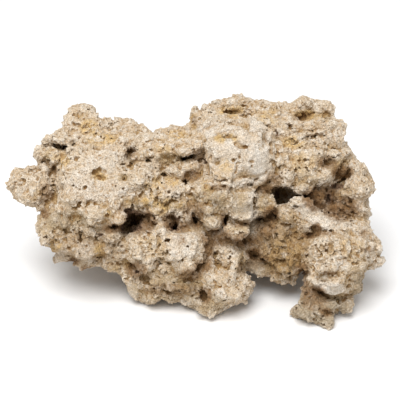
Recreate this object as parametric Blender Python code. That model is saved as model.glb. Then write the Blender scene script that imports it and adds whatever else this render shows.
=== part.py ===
"""Dry reef rock: one craggy, porous lump of old reef limestone, about 305 mm long, that rests on four feet.

The rock is laid out on its broad front face, in millimetres: "across" runs to the right, "up" runs up the
face, and "out" comes out of it. Rounded lumps are fused into one body and covered with uneven swellings. Knobs
and dents are then set on the front surface, caves are carved deeper in, and the knobs that stand inside them
are added. The face leans back by LEAN_DEG as the rock rests, and the lowest lumps are worn flat where they
stand on the floor.

Row frame: metres, +X to the right, +Y away from the front, +Z up, origin at the bottom centre of the rock.
"""

import math
from typing import NamedTuple

import bmesh
import bpy
import numpy as np
import openvdb

MM = 0.001

# How the rock rests.
LEAN_DEG = 30.0  # the broad face leans back this far from upright
FLOOR_MM = -69.3  # height of the floor below the face's own origin
FACE_ORIGIN_MM = (-0.3, -13.5, -FLOOR_MM)  # where the face's origin lies in the row frame

# How the body is made.
VOXEL_MM = 2.5  # the grid on which the lumps are fused
REACH_MM = 10.0  # how far from a surface the field is kept
BLEND_MM = 4.0  # how softly the masses run into each other
KNOB_BLEND_MM = 2.5  # how softly a knob runs into the surface
CARVE_BLEND_MM = 2.0  # how softly a hollow's rim is rounded
TRIANGLES = 9600
LOW_CORNER_MM = (-165.0, -110.0, -110.0)  # the grid's limits: across, up, out
HIGH_CORNER_MM = (165.0, 105.0, 65.0)

# The uneven growth that bends every lump a little, and the swellings it is covered with.
GROWTH_SEED = 11
WARPS_MM = ((26.0, 1.6), (13.0, 1.2))  # (size of a bend, how far it moves the surface)
SWELLS_MM = ((18.0, 3.6), (9.0, 2.8))  # (size of a swelling, how far it stands out)
EVENING = 3.0  # brings the evened-out noise back to about -1 to 1
MEAN_SWELL = 0.5  # taken off each swelling, so that the body keeps its size
SMALLEST = 1e-6  # keeps a division away from zero

STONE_COLOUR = (0.66, 0.57, 0.44, 1.0)
STONE_ROUGHNESS = 0.95


class Lump(NamedTuple):
    """A rounded mass, or with square above 2 a blocky one; turn is in degrees, anticlockwise in the face."""

    across: float
    up: float
    out: float
    half_across: float
    half_up: float
    half_out: float
    turn: float = 0.0
    square: float = 2.0


CORE = (
    Lump(-75, 12, -12, 42, 38, 34),
    Lump(-88, 50, -16, 24, 14, 18),
    Lump(-10, 8, -12, 52, 42, 34),
    Lump(-25, 52, -16, 34, 12, 20),
    Lump(65, 45, -22, 50, 38, 36),
    Lump(112, 24, -22, 20, 26, 18),
    Lump(108, -30, -2, 30, 26, 28),
    Lump(0, -38, -2, 42, 28, 30),
    Lump(62, -20, -22, 34, 24, 28),
)

LEFT_HORN = (
    Lump(-143, 20, -3, 9, 6, 8),
    Lump(-131, 19, -1, 12, 12, 13),
    Lump(-122, 13, 1, 11, 14, 14),
    Lump(-139, 28, -4, 5, 4, 5),
    Lump(-130, 29, -2, 6, 5, 8),
    Lump(-124, 30, -3, 5, 4.5, 7),
    Lump(-138, 13, 1, 8, 5, 7, turn=-35),
    Lump(-127, 6, 2, 10, 6, 9, turn=-15),
    Lump(-121, 45, -2, 3.5, 5, 6),
    Lump(-117, 47, -1, 6, 4, 7),
    Lump(-121, 38, -2, 3, 5, 6),
    Lump(-113, 27, -8, 6, 8, 8),
    Lump(-111, 42, 3, 7, 7, 8),
    Lump(-116, 32, 0, 8, 4, 8),
    Lump(-108, 51, -12, 10, 8, 9),
)

UPPER_LEFT_CREST = (
    Lump(-116, 57, -2, 6, 4.5, 8),
    Lump(-107, 59, 1, 9, 5.5, 9),
    Lump(-100, 62, -1, 8, 6, 9),
    Lump(-99, 66, -7, 4, 4, 6),
    Lump(-93, 71, -9, 7, 7, 8),
    Lump(-89, 79.5, -14, 10.5, 8, 11),
    Lump(-95, 82, -14, 4, 4, 6),
    Lump(-82, 76, -14, 7, 6.5, 9),
    Lump(-86, 66, -9, 16, 9, 15),
    Lump(-73, 67, -12, 10, 7, 11),
    Lump(-55, 64, -14, 14, 11, 14),
    Lump(-41, 61, -12, 7, 9, 9),
    Lump(-25, 60.5, -9, 9, 7.5, 12),
    Lump(-14, 62, -10, 12, 8.5, 13),
    Lump(-3, 62, -9, 9, 8, 12),
    Lump(-80, 55, -3, 24, 9, 18),
    Lump(-60, 54, -3, 14, 10, 18),
)

UPPER_RIGHT_CREST = (
    Lump(-0.5, 77, -16, 6.5, 9, 9),
    Lump(4, 67, -12, 9, 8, 12),
    Lump(10, 76, -14, 7, 8, 10),
    Lump(19, 81, -15, 8, 9, 11),
    Lump(30, 82, -16, 8, 9, 11),
    Lump(37, 85, -17, 6, 7.5, 9),
    Lump(45, 81, -17, 8, 8, 10),
    Lump(55, 80, -18, 12, 9, 13),
    Lump(67, 78, -18, 12, 8.5, 13),
    Lump(79, 80, -16, 8, 8, 12),
    Lump(88, 85, -16, 8, 9, 11),
    Lump(99, 82, -14, 8, 8, 11),
    Lump(107, 80, -13, 7.5, 7, 9),
    Lump(101, 67, -4, 19, 8, 17),
    Lump(111, 65, -7, 8, 10, 12),
)

RIGHT_EDGE = (
    Lump(114, 56, -9, 8, 9, 12),
    Lump(117.5, 46, -10, 9, 10, 13),
    Lump(124, 36, -12, 9, 10, 13),
    Lump(130, 30, -12, 8, 9, 13),
    Lump(132, 18, -10, 12, 10, 14),
    Lump(131, 7, -12, 8, 8, 12),
    Lump(133, -1, -12, 9, 8, 12),
    Lump(131, -11, -8, 9, 8, 13),
    Lump(122, 0, -20, 14, 14, 14),
)

UPPER_RIGHT_FACE = (
    Lump(82, 42, 4, 27, 17, 22),
    Lump(100, 42, 2, 16, 14, 18),
    Lump(68, 30, 10, 12, 12, 16),
    Lump(84, 27, 10, 14, 11, 16),
    Lump(100, 29, 6, 10, 9, 13),
    Lump(72, 60, -2, 17, 10, 18),
    Lump(52, 68, -2, 14, 9, 16),
    Lump(97, 74, -10, 12, 5, 11),
)

BROW = (
    Lump(32, 46, 18, 25, 22, 25, square=2.3),
    Lump(22, 54, 16, 18, 15, 22),
    Lump(45, 58, 14, 11, 13, 22),
    Lump(47, 40, 18, 13, 18, 22, square=2.3),
    Lump(24, 31, 22, 15, 11, 19),
    Lump(14, 64, 6, 12, 7, 14),
    Lump(40, 67, 6, 15, 7, 15),
    Lump(27, 74, -8, 14, 5, 12),
)

UNDER_BROW = (
    Lump(16, 7, 24, 16, 12, 16),
    Lump(33, 8, 20, 14, 13, 17),
    Lump(40, 0, 18, 9, 10, 15),
    Lump(8, 20, 22, 8, 8, 11),
    Lump(13, -6, 22, 12, 9, 13),
    Lump(33, -15, 19, 12, 10, 13),
    Lump(43, 15, 14, 6, 8, 13),
    Lump(54, 18, 4, 9, 10, 16),
    Lump(84, -14, 6, 7, 7, 10),
)

MIDDLE_KNOBS = (
    Lump(-20, 17, 13, 14, 10, 13),
    Lump(-5, 15, 11, 10, 9, 13),
    Lump(-3, 33, 13, 11, 6.5, 11),
    Lump(-22, 36, 7, 12, 8, 13),
    Lump(-40, 28, 11, 12, 18, 15),
    Lump(-35, 11, 8, 12, 10, 13),
    Lump(-28, 2, 6, 12, 8, 13),
    Lump(-12, 2, 6, 12, 8, 13),
    Lump(-36, 50, 7, 18, 8, 15),
    Lump(-12, 52, 5, 20, 8, 15),
    Lump(5, 52, 7, 12, 9, 15),
)

LEFT_BLOCK = (
    Lump(-82, 25, 6, 29, 26, 26, square=2.3),
    Lump(-92, 10, 11, 18, 16, 20),
    Lump(-72, 12, 12, 20, 17, 22),
    Lump(-75, -1, 18, 14, 10, 19),
    Lump(-63, 0, 15, 9, 10, 17),
    Lump(-98, 4, 11, 12, 9, 17),
    Lump(-60, 20, 10, 14, 14, 19),
    Lump(-66, 42, 4, 18, 10, 19),
    Lump(-90, 44, 1, 20, 9, 19),
    Lump(-84, -12, 8, 18, 8, 18),
)

LOWER_LEFT = (
    Lump(-108, -14, 0, 17, 17, 18),
    Lump(-98, -25, 2, 16, 14, 18),
    Lump(-87, -32, 4, 12, 13, 17),
    Lump(-89, -42, 2, 6, 6, 9),
    Lump(-107, -36, -4, 6, 8, 9, square=3),
    Lump(-75, -27, 4, 14, 13, 17),
    Lump(-62, -32, 2, 12, 15, 17),
    Lump(-62, -42, -2, 12, 9, 14),
    Lump(-53, -47, -6, 9, 9, 13),
    Lump(-76, -36, 0, 12, 8, 14),
    Lump(-114, -4, -2, 10, 11, 13),
)

LOWER_MIDDLE = (
    Lump(-32, -28, 13, 22, 14, 21),
    Lump(-12, -30, 15, 18, 15, 21),
    Lump(-38, -40, 11, 12, 10, 17),
    Lump(-10, -40, 13, 14, 9, 17),
    Lump(-49, -26, 7, 12, 12, 15),
    Lump(-2, -22, 11, 9, 9, 15),
    Lump(-30, -55, 1, 20, 13, 19),
    Lump(-5, -58, 3, 18, 15, 19),
    Lump(-33, -68, 0, 9, 8.5, 11),
    Lump(-19, -67, 0, 14, 8, 13),
    Lump(-48, -62, 0, 6, 9, 6, turn=10, square=3),
    Lump(24, -39, 10, 15, 11, 16),
    Lump(24, -57, 11, 19, 16, 17),
    Lump(38, -58, 8, 8, 10, 11),
    Lump(33, -64, 7, 9, 9, 12),
    Lump(11, -70, 6, 13, 11, 14),
    Lump(14, -79, 3, 8, 9.5, 11),
    Lump(1, -72, 2, 9, 8, 12),
    Lump(24, -73, 5, 6, 6, 9),
    Lump(5, -45, 3, 16, 14, 17),
)

RIGHT_RECESS = (
    Lump(68, -24, -5, 21, 19, 18),
    Lump(75, -38, -5, 14, 14, 15),
    Lump(70, -50, -5, 8, 7, 9),
    Lump(80, -52, -5, 5, 6, 8),
    Lump(52, -43, -11, 15, 7, 11, turn=-12, square=3),
    Lump(60, -10, -7, 14, 12, 15),
)

RIGHT_ARM = (
    Lump(75, -3, 12, 9, 10, 11),
    Lump(86, 0, 12, 10, 9, 12),
    Lump(98, -8, 13, 12, 9, 14),
    Lump(112, -16, 13, 16, 10, 17),
    Lump(127, -20, 7, 14, 10, 17),
    Lump(133, -21, 0, 9, 11, 13),
    Lump(141, -29, -1, 8, 8, 9),
    Lump(112, -35, 15, 25, 23, 25),
    Lump(110, -51, 15, 20, 17, 21),
    Lump(121, -51, 9, 14, 17, 19),
    Lump(97, -41, 13, 11, 16, 17),
    Lump(132, -38, 3, 12, 11, 15),
    Lump(141, -41, 0, 9, 6, 8),
    Lump(150, -41, -1, 4.5, 4.5, 6),
    Lump(124, -61, 4, 10, 8, 12),
)

RIGHT_FOOT = (
    Lump(96, -65, 6, 10, 12, 13),
    Lump(107, -68, 4, 17, 9, 13),
    Lump(98, -79, 12, 16, 9, 13),
    Lump(84, -80, 9, 8, 6, 9),
    Lump(103, -84, 14, 9, 8, 12),
    Lump(118, -75, 6, 10, 6, 10),
    Lump(105, -91, 18, 5.5, 6, 8),
)

BACK = (
    Lump(-80, 15, -42, 34, 34, 28),
    Lump(-30, 18, -50, 40, 36, 28),
    Lump(30, 25, -52, 42, 38, 28),
    Lump(82, 22, -46, 36, 36, 30),
    Lump(112, -8, -34, 24, 26, 26),
    Lump(10, -18, -46, 60, 24, 26),
    Lump(-52, -12, -38, 26, 22, 22),
    Lump(-62, 34, -64, 16, 14, 14),
    Lump(-4, 40, -70, 18, 13, 15),
    Lump(52, 10, -72, 20, 14, 14),
    Lump(84, 44, -62, 17, 15, 14),
    Lump(-22, -4, -74, 22, 12, 10),
)

BACK_FEET = (
    Lump(-84, -18, -68, 22, 22, 16),
    Lump(92, -24, -66, 26, 22, 18),
)

CAVES = (
    # The two deep holes in the middle, and the notches round them.
    Lump(-50, -9, 6, 8, 8, 34),
    Lump(-53, -15, 8, 7, 4.5, 30),
    Lump(-41, -8, 10, 8, 7, 24, turn=20),
    Lump(-16, -14, 14, 3.5, 4.5, 30),
    Lump(-19, -9, 18, 6, 4.5, 16),
    Lump(0, -6, 16, 4, 6, 20, turn=20),
    Lump(4, -10, 18, 4, 3, 16),
    # The cave under the upper right face, and the crease that leads out of it.
    Lump(70, 13, 10, 10, 7, 36),
    Lump(83, 11.5, 14, 10, 3, 24),
    Lump(97, 10, 12, 9, 7, 13),
    Lump(116, 20, 4, 7, 3, 18, turn=40),
    Lump(107, 9, 6, 3, 6, 20, turn=-10),
    # The shaded recess at the right edge, and the one above it.
    Lump(116, 1, 10, 12, 8, 18),
    Lump(119, 29, 6, 5, 8, 14),
    # The slots under the middle shelf, and the hole at its left end.
    Lump(-6, 41, 16, 7, 3, 20),
    Lump(4, 43, 17, 7, 5, 18),
    Lump(-20, 40, 17, 6, 2.5, 9),
    Lump(-37, 40, 18, 4, 2.5, 10),
    Lump(-52, 46, 15, 4.5, 4.5, 14),
    # The cave under the upper left ledge, and the creases beside the horn.
    Lump(-105, 50, 0, 6, 3, 14),
    Lump(-100, 53, 4, 7, 3, 10, turn=15),
    Lump(-113, 32, 8, 3, 6, 10),
    Lump(-120, 13, 12, 3, 8, 9, turn=10),
    # Below the round lump, and the band between the middle blocks and the right recess.
    Lump(52, -8, 14, 6, 4, 22),
    Lump(61, -5, 8, 6, 6, 12),
    Lump(24, -9, 28, 2.5, 6, 16, turn=-25),
    Lump(42, -27, 18, 13, 4.5, 15, turn=12),
    Lump(47, -37, 4, 6, 4, 16),
    Lump(10.5, -29, 22, 3.5, 13, 17, turn=-10),
    Lump(3, -45, 24, 6, 3.5, 12, turn=25),
    # The lower middle: the cavity on its left, the round hollow and the slots.
    Lump(-41, -54, 18, 7, 5, 11),
    Lump(-51, -45, 18, 4, 6, 10, turn=30),
    Lump(7, -68, 22, 5.5, 5, 12),
    # The right arm: the notch, the dark recess beside it and the undercut below.
    Lump(95, -16, 28, 3, 5, 12),
    Lump(90, -21, 26, 6, 2.5, 12, turn=20),
    Lump(87, -49, 12, 3.5, 6, 14, turn=-30),
    Lump(99, -66, 24, 9, 3, 12, turn=-28),
    Lump(103, -81, 26, 3.5, 3, 8),
    # On the hidden back and top.
    Lump(-36, 26, -80, 8, 10, 14, turn=30),
    Lump(22, 44, -84, 9, 8, 14),
    Lump(20, 2, -80, 12, 6, 14, turn=-20),
    Lump(84, 12, -80, 8, 12, 14),
    Lump(-60, 2, -78, 7, 12, 16),
    Lump(-70, 66, -30, 12, 8, 8),
    Lump(22, 74, -42, 14, 8, 9),
    Lump(104, 54, -44, 8, 10, 10),
    Lump(112, -30, -36, 10, 8, 12),
    Lump(-16, -48, -38, 20, 10, 12),
)

KNOBS_IN_CAVES = (
    Lump(55, 4, 12, 10, 8.5, 11),
    Lump(-6, -5, 13, 4.5, 5, 7),
    Lump(-3, 35.5, 11, 9.5, 4.5, 12),
    Lump(99, 9, -4, 8, 11, 13),
    Lump(112, 0, -8, 10, 8, 10),
)


class Spot(NamedTuple):
    """A rounded knob or dent centred on the front surface, wherever that lies at this place."""

    across: float
    up: float
    half_across: float
    half_up: float
    half_out: float
    turn: float = 0.0


KNOBS = (
    # The left block, from its top edge down to the nose.
    Spot(-98, 40, 9, 6, 4),
    Spot(-84, 43, 10, 6, 4),
    Spot(-69, 42, 9, 6, 4),
    Spot(-101, 28, 6, 9, 4),
    Spot(-89, 26, 8, 7, 3),
    Spot(-99, 11, 8, 7, 5),
    Spot(-72, 17, 11, 5, 3),
    Spot(-84, 13, 8, 5, 3),
    Spot(-78, -3, 8, 7, 6),
    Spot(-65, 3, 5, 5, 5),
    Spot(-60, -6, 5, 5, 5),
    Spot(-66, 34, 7, 5, 3),
    # The lower left.
    Spot(-118, -19, 7, 7, 4),
    Spot(-115, -6, 4, 6, 4),
    Spot(-106, -7, 4, 7, 4),
    Spot(-95, -22, 5, 5, 5),
    Spot(-87, -33, 9, 7, 5),
    Spot(-103, -28, 5, 4, 4),
    Spot(-84, -17, 6, 4, 3),
    Spot(-67, -24, 7, 5, 5),
    Spot(-66, -35, 8, 4, 3),
    # The horn and the lumps above it.
    Spot(-141, 24, 6, 5, 3),
    Spot(-128, 24, 6, 5, 4),
    Spot(-134, 10, 7, 5, 3),
    Spot(-113, 44, 6, 5, 4),
    Spot(-107, 57, 6, 4, 4),
    # The middle, from the shelf down to the caves.
    Spot(-37, 49, 11, 4, 4),
    Spot(-13, 51, 10, 4, 4),
    Spot(-16, 33, 6, 4, 4),
    Spot(-17, 14, 9, 6, 6),
    Spot(-3, 17, 7, 5, 5),
    Spot(-45, 25, 8, 6, 5),
    Spot(-38, 33, 5, 6, 4),
    Spot(-34, 10, 6, 6, 3),
    Spot(-28, 1, 8, 5, 4),
    Spot(-12, 3, 6, 4, 4),
    # The lower middle.
    Spot(-33, -20, 12, 6, 5),
    Spot(-45, -30, 6, 9, 5),
    Spot(-10, -27, 14, 9, 4),
    Spot(4, -29, 4, 9, 5),
    Spot(-40, -44, 7, 4, 5),
    Spot(-24, -46, 6, 3, 4),
    Spot(-6, -43, 6, 5, 5),
    Spot(-20, -53, 9, 4, 4),
    Spot(-30, -66, 7, 5, 4),
    Spot(-12, -62, 9, 4, 3),
    Spot(28, -37, 8, 7, 5),
    Spot(12, -45, 6, 4, 4),
    Spot(24, -55, 10, 6, 4),
    Spot(38, -58, 6, 6, 4),
    Spot(30, -66, 8, 5, 4),
    Spot(19, -68, 5, 4, 4),
    Spot(10, -79, 9, 5, 4),
    # The brow and the lumps under it.
    Spot(10, 65, 9, 4, 4, turn=25),
    Spot(30, 67, 10, 5, 4),
    Spot(47, 65, 6, 6, 5),
    Spot(19, 50, 11, 5, 3),
    Spot(46, 55, 8, 4, 3),
    Spot(21, 28, 9, 5, 5),
    Spot(7, 15, 6, 7, 5),
    Spot(20, 12, 8, 4, 4),
    Spot(37, 10, 9, 8, 4),
    Spot(37, -4, 10, 4, 4),
    Spot(10, 2, 8, 5, 4),
    Spot(13, -9, 8, 5, 5),
    Spot(33, -18, 9, 5, 5),
    # The upper right.
    Spot(70, 74, 9, 6, 4),
    Spot(99, 68, 16, 4, 5),
    Spot(113, 66, 6, 6, 4),
    Spot(96, 54, 8, 4, 4),
    Spot(72, 45, 9, 5, 4),
    Spot(95, 45, 8, 4, 4),
    Spot(72, 28, 8, 5, 5),
    Spot(87, 30, 7, 6, 4),
    Spot(104, 29, 5, 4, 5),
    Spot(87, 17, 7, 4, 5),
    Spot(130, 21, 9, 7, 5),
    Spot(130, 34, 7, 6, 4),
    Spot(134, 0, 4, 5, 4),
    Spot(117, 48, 6, 5, 4),
    # The right arm and its lobe.
    Spot(73, -4, 7, 6, 5),
    Spot(86, 2, 8, 6, 4),
    Spot(104, -9, 8, 4, 4),
    Spot(120, -14, 9, 5, 4),
    Spot(96, -26, 7, 4, 4),
    Spot(104, -42, 8, 6, 5),
    Spot(119, -45, 4, 6, 4),
    Spot(128, -44, 5, 5, 5),
    Spot(137, -22, 5, 7, 4),
    Spot(143, -30, 5, 5, 4),
    Spot(95, -53, 7, 4, 4),
    Spot(110, -54, 8, 4, 4),
    Spot(107, -62, 12, 5, 4),
    Spot(125, -58, 5, 6, 4),
    Spot(85, -80, 6, 5, 4),
    Spot(104, -75, 7, 3, 4),
    Spot(118, -75, 6, 4, 4),
    Spot(105, -87, 5, 5, 4),
    # The wall of the right recess.
    Spot(68, -20, 8, 6, 4),
    Spot(72, -33, 9, 6, 4),
    Spot(72, -47, 8, 5, 4),
    Spot(56, -34, 6, 6, 5),
    Spot(60, -17, 6, 4, 4),
    Spot(82, -30, 6, 5, 4),
)

DENTS = (
    # The left block and the lower left.
    Spot(-76, 27, 6, 4.5, 5),
    Spot(-58, 27, 5, 4, 5),
    Spot(-93, 4, 6, 3.5, 7),
    Spot(-104, 39, 4.5, 3, 6, turn=20),
    Spot(-91, 19, 6, 2, 4),
    Spot(-66, -14, 6, 2.5, 5),
    Spot(-75, -20, 4, 2.5, 7),
    Spot(-91, -21, 2.5, 5, 6),
    Spot(-98, -39, 5, 3, 8, turn=-10),
    Spot(-93, -16, 5, 2.5, 5),
    # The middle.
    Spot(-24, 28, 4, 3, 6, turn=25),
    Spot(-25, 35, 4, 2, 5, turn=35),
    Spot(-1, 27, 6, 3, 6),
    Spot(-8, 22, 2.5, 4, 6),
    Spot(-10, 9, 7, 2.5, 5),
    Spot(-37, 20, 3, 7, 4, turn=-30),
    # The brow and the lumps under it.
    Spot(25, 58, 9, 2.5, 5),
    Spot(41, 50, 3, 3, 6),
    Spot(27, 37, 8, 4, 3),
    Spot(22, 18, 7, 3, 9),
    Spot(14, 8, 8, 2, 6, turn=-15),
    Spot(36, 16, 6, 2.5, 6, turn=10),
    Spot(39, -11, 4, 3, 6),
    # The upper right.
    Spot(31, 77, 9, 3, 4),
    Spot(84, 73, 5, 2.5, 7),
    Spot(94, 76, 7, 2.5, 4),
    Spot(104, 74, 4, 2.5, 3.5),
    Spot(95, 59.5, 9, 2.5, 9, turn=5),
    Spot(75, 66, 3, 3, 6),
    Spot(80, 53, 8, 4.5, 7),
    Spot(106, 38, 8, 4, 8, turn=8),
    Spot(61, 47, 2, 7, 5, turn=15),
    Spot(58, 63, 4, 2, 5),
    # The lower middle and the right arm.
    Spot(17, -35, 3, 4, 5),
    Spot(18, -43, 3.5, 3.5, 7),
    Spot(38, -43, 2.5, 8, 6),
    Spot(-22, -24, 4, 3, 4),
    Spot(-26, -41, 6, 2, 5),
    Spot(-17, -65, 10, 2, 5),
    Spot(106, -30, 5, 4, 6),
    Spot(106, -51, 7, 2, 5),
    Spot(124, -61, 4, 3, 4),
)

MASSES = (
    *CORE,
    *BACK,
    *BACK_FEET,
    *LEFT_HORN,
    *UPPER_LEFT_CREST,
    *UPPER_RIGHT_CREST,
    *RIGHT_EDGE,
    *UPPER_RIGHT_FACE,
    *BROW,
    *UNDER_BROW,
    *MIDDLE_KNOBS,
    *LEFT_BLOCK,
    *LOWER_LEFT,
    *LOWER_MIDDLE,
    *RIGHT_RECESS,
    *RIGHT_ARM,
    *RIGHT_FOOT,
)


def grid_axes():
    """The grid's positions along across, up and out, in millimetres."""
    return [np.arange(low, high, VOXEL_MM) for low, high in zip(LOW_CORNER_MM, HIGH_CORNER_MM)]


def blending_weights(positions, size):
    """For each position, how much each point of a coarse lattice counts, as a cubic B-spline."""
    steps = (positions - positions[0]) / size + 1.0
    lattice = np.arange(int(steps[-1]) + 3)
    apart = np.abs(steps[:, None] - lattice[None, :])
    near = 2 / 3 - apart**2 + apart**3 / 2
    far = np.clip(2 - apart, 0, None) ** 3 / 6
    return np.where(apart < 1, near, far)


def smooth_noise(axes, size, rng):
    """Values of about -1 to 1 over the whole grid that change over the given size."""
    across, up, out = (blending_weights(axis, size) for axis in axes)
    lattice = rng.uniform(-1, 1, (across.shape[1], up.shape[1], out.shape[1]))
    noise = np.einsum("ia,jb,kc,abc->ijk", across, up, out, lattice, optimize=True)
    return EVENING * noise


def warped_places(axes, rng):
    """The across, up and out position of every grid point, each pushed about by the warps."""
    places = [place.copy() for place in np.meshgrid(*axes, indexing="ij")]
    for place in places:
        for size, push in WARPS_MM:
            place += push * smooth_noise(axes, size, rng)
    return places


def distance_to(lump, across, up, out):
    """Distance from the lump's surface, below zero inside it; close to exact near the surface."""
    turn = math.radians(lump.turn)
    across, up = across - lump.across, up - lump.up
    along = (across * math.cos(turn) + up * math.sin(turn)) / lump.half_across
    beside = (up * math.cos(turn) - across * math.sin(turn)) / lump.half_up
    deep = (out - lump.out) / lump.half_out
    n = lump.square
    sides = ((along, lump.half_across), (beside, lump.half_up), (deep, lump.half_out))
    size = sum(np.abs(side) ** n for side, _ in sides) ** (1 / n) + SMALLEST
    slope = np.sqrt(sum((np.abs(side) / size) ** (2 * n - 2) / half**2 for side, half in sides))
    return (size - 1) / np.maximum(slope, SMALLEST)


def softer_minimum(a, b, blend):
    """The smaller of a and b, rounded where they cross."""
    share = np.clip(0.5 + 0.5 * (b - a) / blend, 0, 1)
    return b + (a - b) * share - blend * share * (1 - share)


def near(lump, axes):
    """The part of the grid that the lump can reach."""
    widest = max(lump.half_across, lump.half_up) if lump.turn else None
    halves = (widest or lump.half_across, widest or lump.half_up, lump.half_out)
    ranges = []
    for axis, centre, half in zip(axes, lump[:3], halves):
        low, high = np.searchsorted(axis, (centre - half - REACH_MM, centre + half + REACH_MM))
        ranges.append(slice(low, high))
    return tuple(ranges)


def add(field, lump, axes, places, blend):
    box = near(lump, axes)
    distance = distance_to(lump, *(place[box] for place in places))
    field[box] = softer_minimum(field[box], distance, blend)


def carve(field, lump, axes, places):
    box = near(lump, axes)
    distance = distance_to(lump, *(place[box] for place in places))
    field[box] = -softer_minimum(-field[box], distance, CARVE_BLEND_MM)


def on_surface(spot, field, axes):
    """The spot as a lump whose centre lies on the foremost surface at its place."""
    column = field[np.searchsorted(axes[0], spot.across), np.searchsorted(axes[1], spot.up)]
    foremost = np.flatnonzero(column < 0)[-1]
    past = column[foremost] / (column[foremost] - column[foremost + 1])
    out = axes[2][foremost] + past * VOXEL_MM
    return Lump(spot.across, spot.up, out, spot.half_across, spot.half_up, spot.half_out, spot.turn)


def swellings(axes, rng):
    """How far the surface is raised at every grid point, in rounded swellings with sharp creases between."""
    return sum(height * (np.abs(smooth_noise(axes, size, rng)) - MEAN_SWELL) for size, height in SWELLS_MM)


def rock_field(axes):
    """Distance from the rock's surface at every grid point, below zero inside it."""
    rng = np.random.default_rng(GROWTH_SEED)
    places = warped_places(axes, rng)
    unbent = np.meshgrid(*axes, indexing="ij")
    field = np.full(places[0].shape, REACH_MM)
    for lump in MASSES:
        add(field, lump, axes, places, BLEND_MM)
    field -= swellings(axes, rng)
    for spot in KNOBS:
        add(field, on_surface(spot, field, axes), axes, unbent, KNOB_BLEND_MM)
    for spot in DENTS:
        carve(field, on_surface(spot, field, axes), axes, unbent)
    for cave in CAVES:
        carve(field, cave, axes, unbent)
    for lump in KNOBS_IN_CAVES:
        add(field, lump, axes, unbent, KNOB_BLEND_MM)
    return field


def surface_of(field, axes):
    """The points and four-sided faces of the surface where the field is zero, on the face, in millimetres."""
    grid = openvdb.FloatGrid(REACH_MM)
    grid.copyFromArray(np.clip(field, -REACH_MM, REACH_MM).astype(np.float32))
    points, faces = grid.convertToQuads(0.0)
    low = [axis[0] for axis in axes]
    return points * VOXEL_MM + low, faces


def at_rest(points):
    """Points on the face, in millimetres, as they lie in the row frame, in metres."""
    lean = math.radians(LEAN_DEG)
    across, up, out = points.T
    away = up * math.sin(lean) - out * math.cos(lean)
    high = up * math.cos(lean) + out * math.sin(lean)
    return (np.stack([across, away, high], axis=1) + FACE_ORIGIN_MM) * MM


def keep_largest_piece(mesh):
    """Removes loose crumbs and sealed bubbles, which the real rock doesn't show."""
    mesh.verts.index_update()
    unseen = set(mesh.verts)
    pieces = []
    while unseen:
        piece, edge_of_search = set(), [unseen.pop()]
        while edge_of_search:
            vert = edge_of_search.pop()
            piece.add(vert)
            for edge in vert.link_edges:
                other = edge.other_vert(vert)
                if other in unseen:
                    unseen.discard(other)
                    edge_of_search.append(other)
        pieces.append(piece)
    largest = max(pieces, key=len)
    bmesh.ops.delete(mesh, geom=[v for v in mesh.verts if v not in largest], context="VERTS")


def wear_feet_flat(mesh):
    """Cuts the lowest lumps off level with the floor and closes the cuts."""
    geometry = [*mesh.verts, *mesh.edges, *mesh.faces]
    cut = bmesh.ops.bisect_plane(
        mesh, geom=geometry, plane_co=(0, 0, 0), plane_no=(0, 0, -1), clear_outer=True, dist=SMALLEST
    )
    rim = [item for item in cut["geom_cut"] if isinstance(item, bmesh.types.BMEdge)]
    bmesh.ops.triangle_fill(mesh, edges=rim, normal=(0, 0, -1), use_beauty=True)


def stone():
    material = bpy.data.materials.new("reef_limestone")
    material.use_nodes = True
    shader = material.node_tree.nodes["Principled BSDF"]
    shader.inputs["Base Color"].default_value = STONE_COLOUR
    shader.inputs["Roughness"].default_value = STONE_ROUGHNESS
    return material


def thinned(rock):
    """The rock's mesh with no more triangles than its shape needs."""
    faces = sum(len(polygon.vertices) - 2 for polygon in rock.data.polygons)
    decimate = rock.modifiers.new("Thin out", "DECIMATE")
    decimate.ratio = TRIANGLES / faces
    decimate.use_collapse_triangulate = True
    evaluated = rock.evaluated_get(bpy.context.evaluated_depsgraph_get())
    mesh = bpy.data.meshes.new_from_object(evaluated)
    rock.modifiers.clear()
    return mesh


def make_rock():
    axes = grid_axes()
    points, faces = surface_of(rock_field(axes), axes)
    mesh = bpy.data.meshes.new("reef_rock")
    mesh.from_pydata(at_rest(points).tolist(), [], faces.tolist())
    rock = bpy.data.objects.new("reef_rock", mesh)
    bpy.context.scene.collection.objects.link(rock)
    rock.data = thinned(rock)
    bpy.data.meshes.remove(mesh)

    shape = bmesh.new()
    shape.from_mesh(rock.data)
    keep_largest_piece(shape)
    wear_feet_flat(shape)
    bmesh.ops.triangulate(shape, faces=shape.faces)
    bmesh.ops.recalc_face_normals(shape, faces=shape.faces)
    shape.to_mesh(rock.data)
    shape.free()
    rock.data.materials.append(stone())
    rock.data.shade_smooth()


def main():
    for old in list(bpy.data.objects):
        bpy.data.objects.remove(old)
    make_rock()


main()
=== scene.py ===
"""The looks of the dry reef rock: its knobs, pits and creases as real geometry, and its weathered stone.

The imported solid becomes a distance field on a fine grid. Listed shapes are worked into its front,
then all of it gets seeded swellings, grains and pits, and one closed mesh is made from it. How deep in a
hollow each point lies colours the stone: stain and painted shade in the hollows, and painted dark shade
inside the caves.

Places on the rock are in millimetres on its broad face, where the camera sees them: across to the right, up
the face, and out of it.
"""

import math
from typing import NamedTuple

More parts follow.
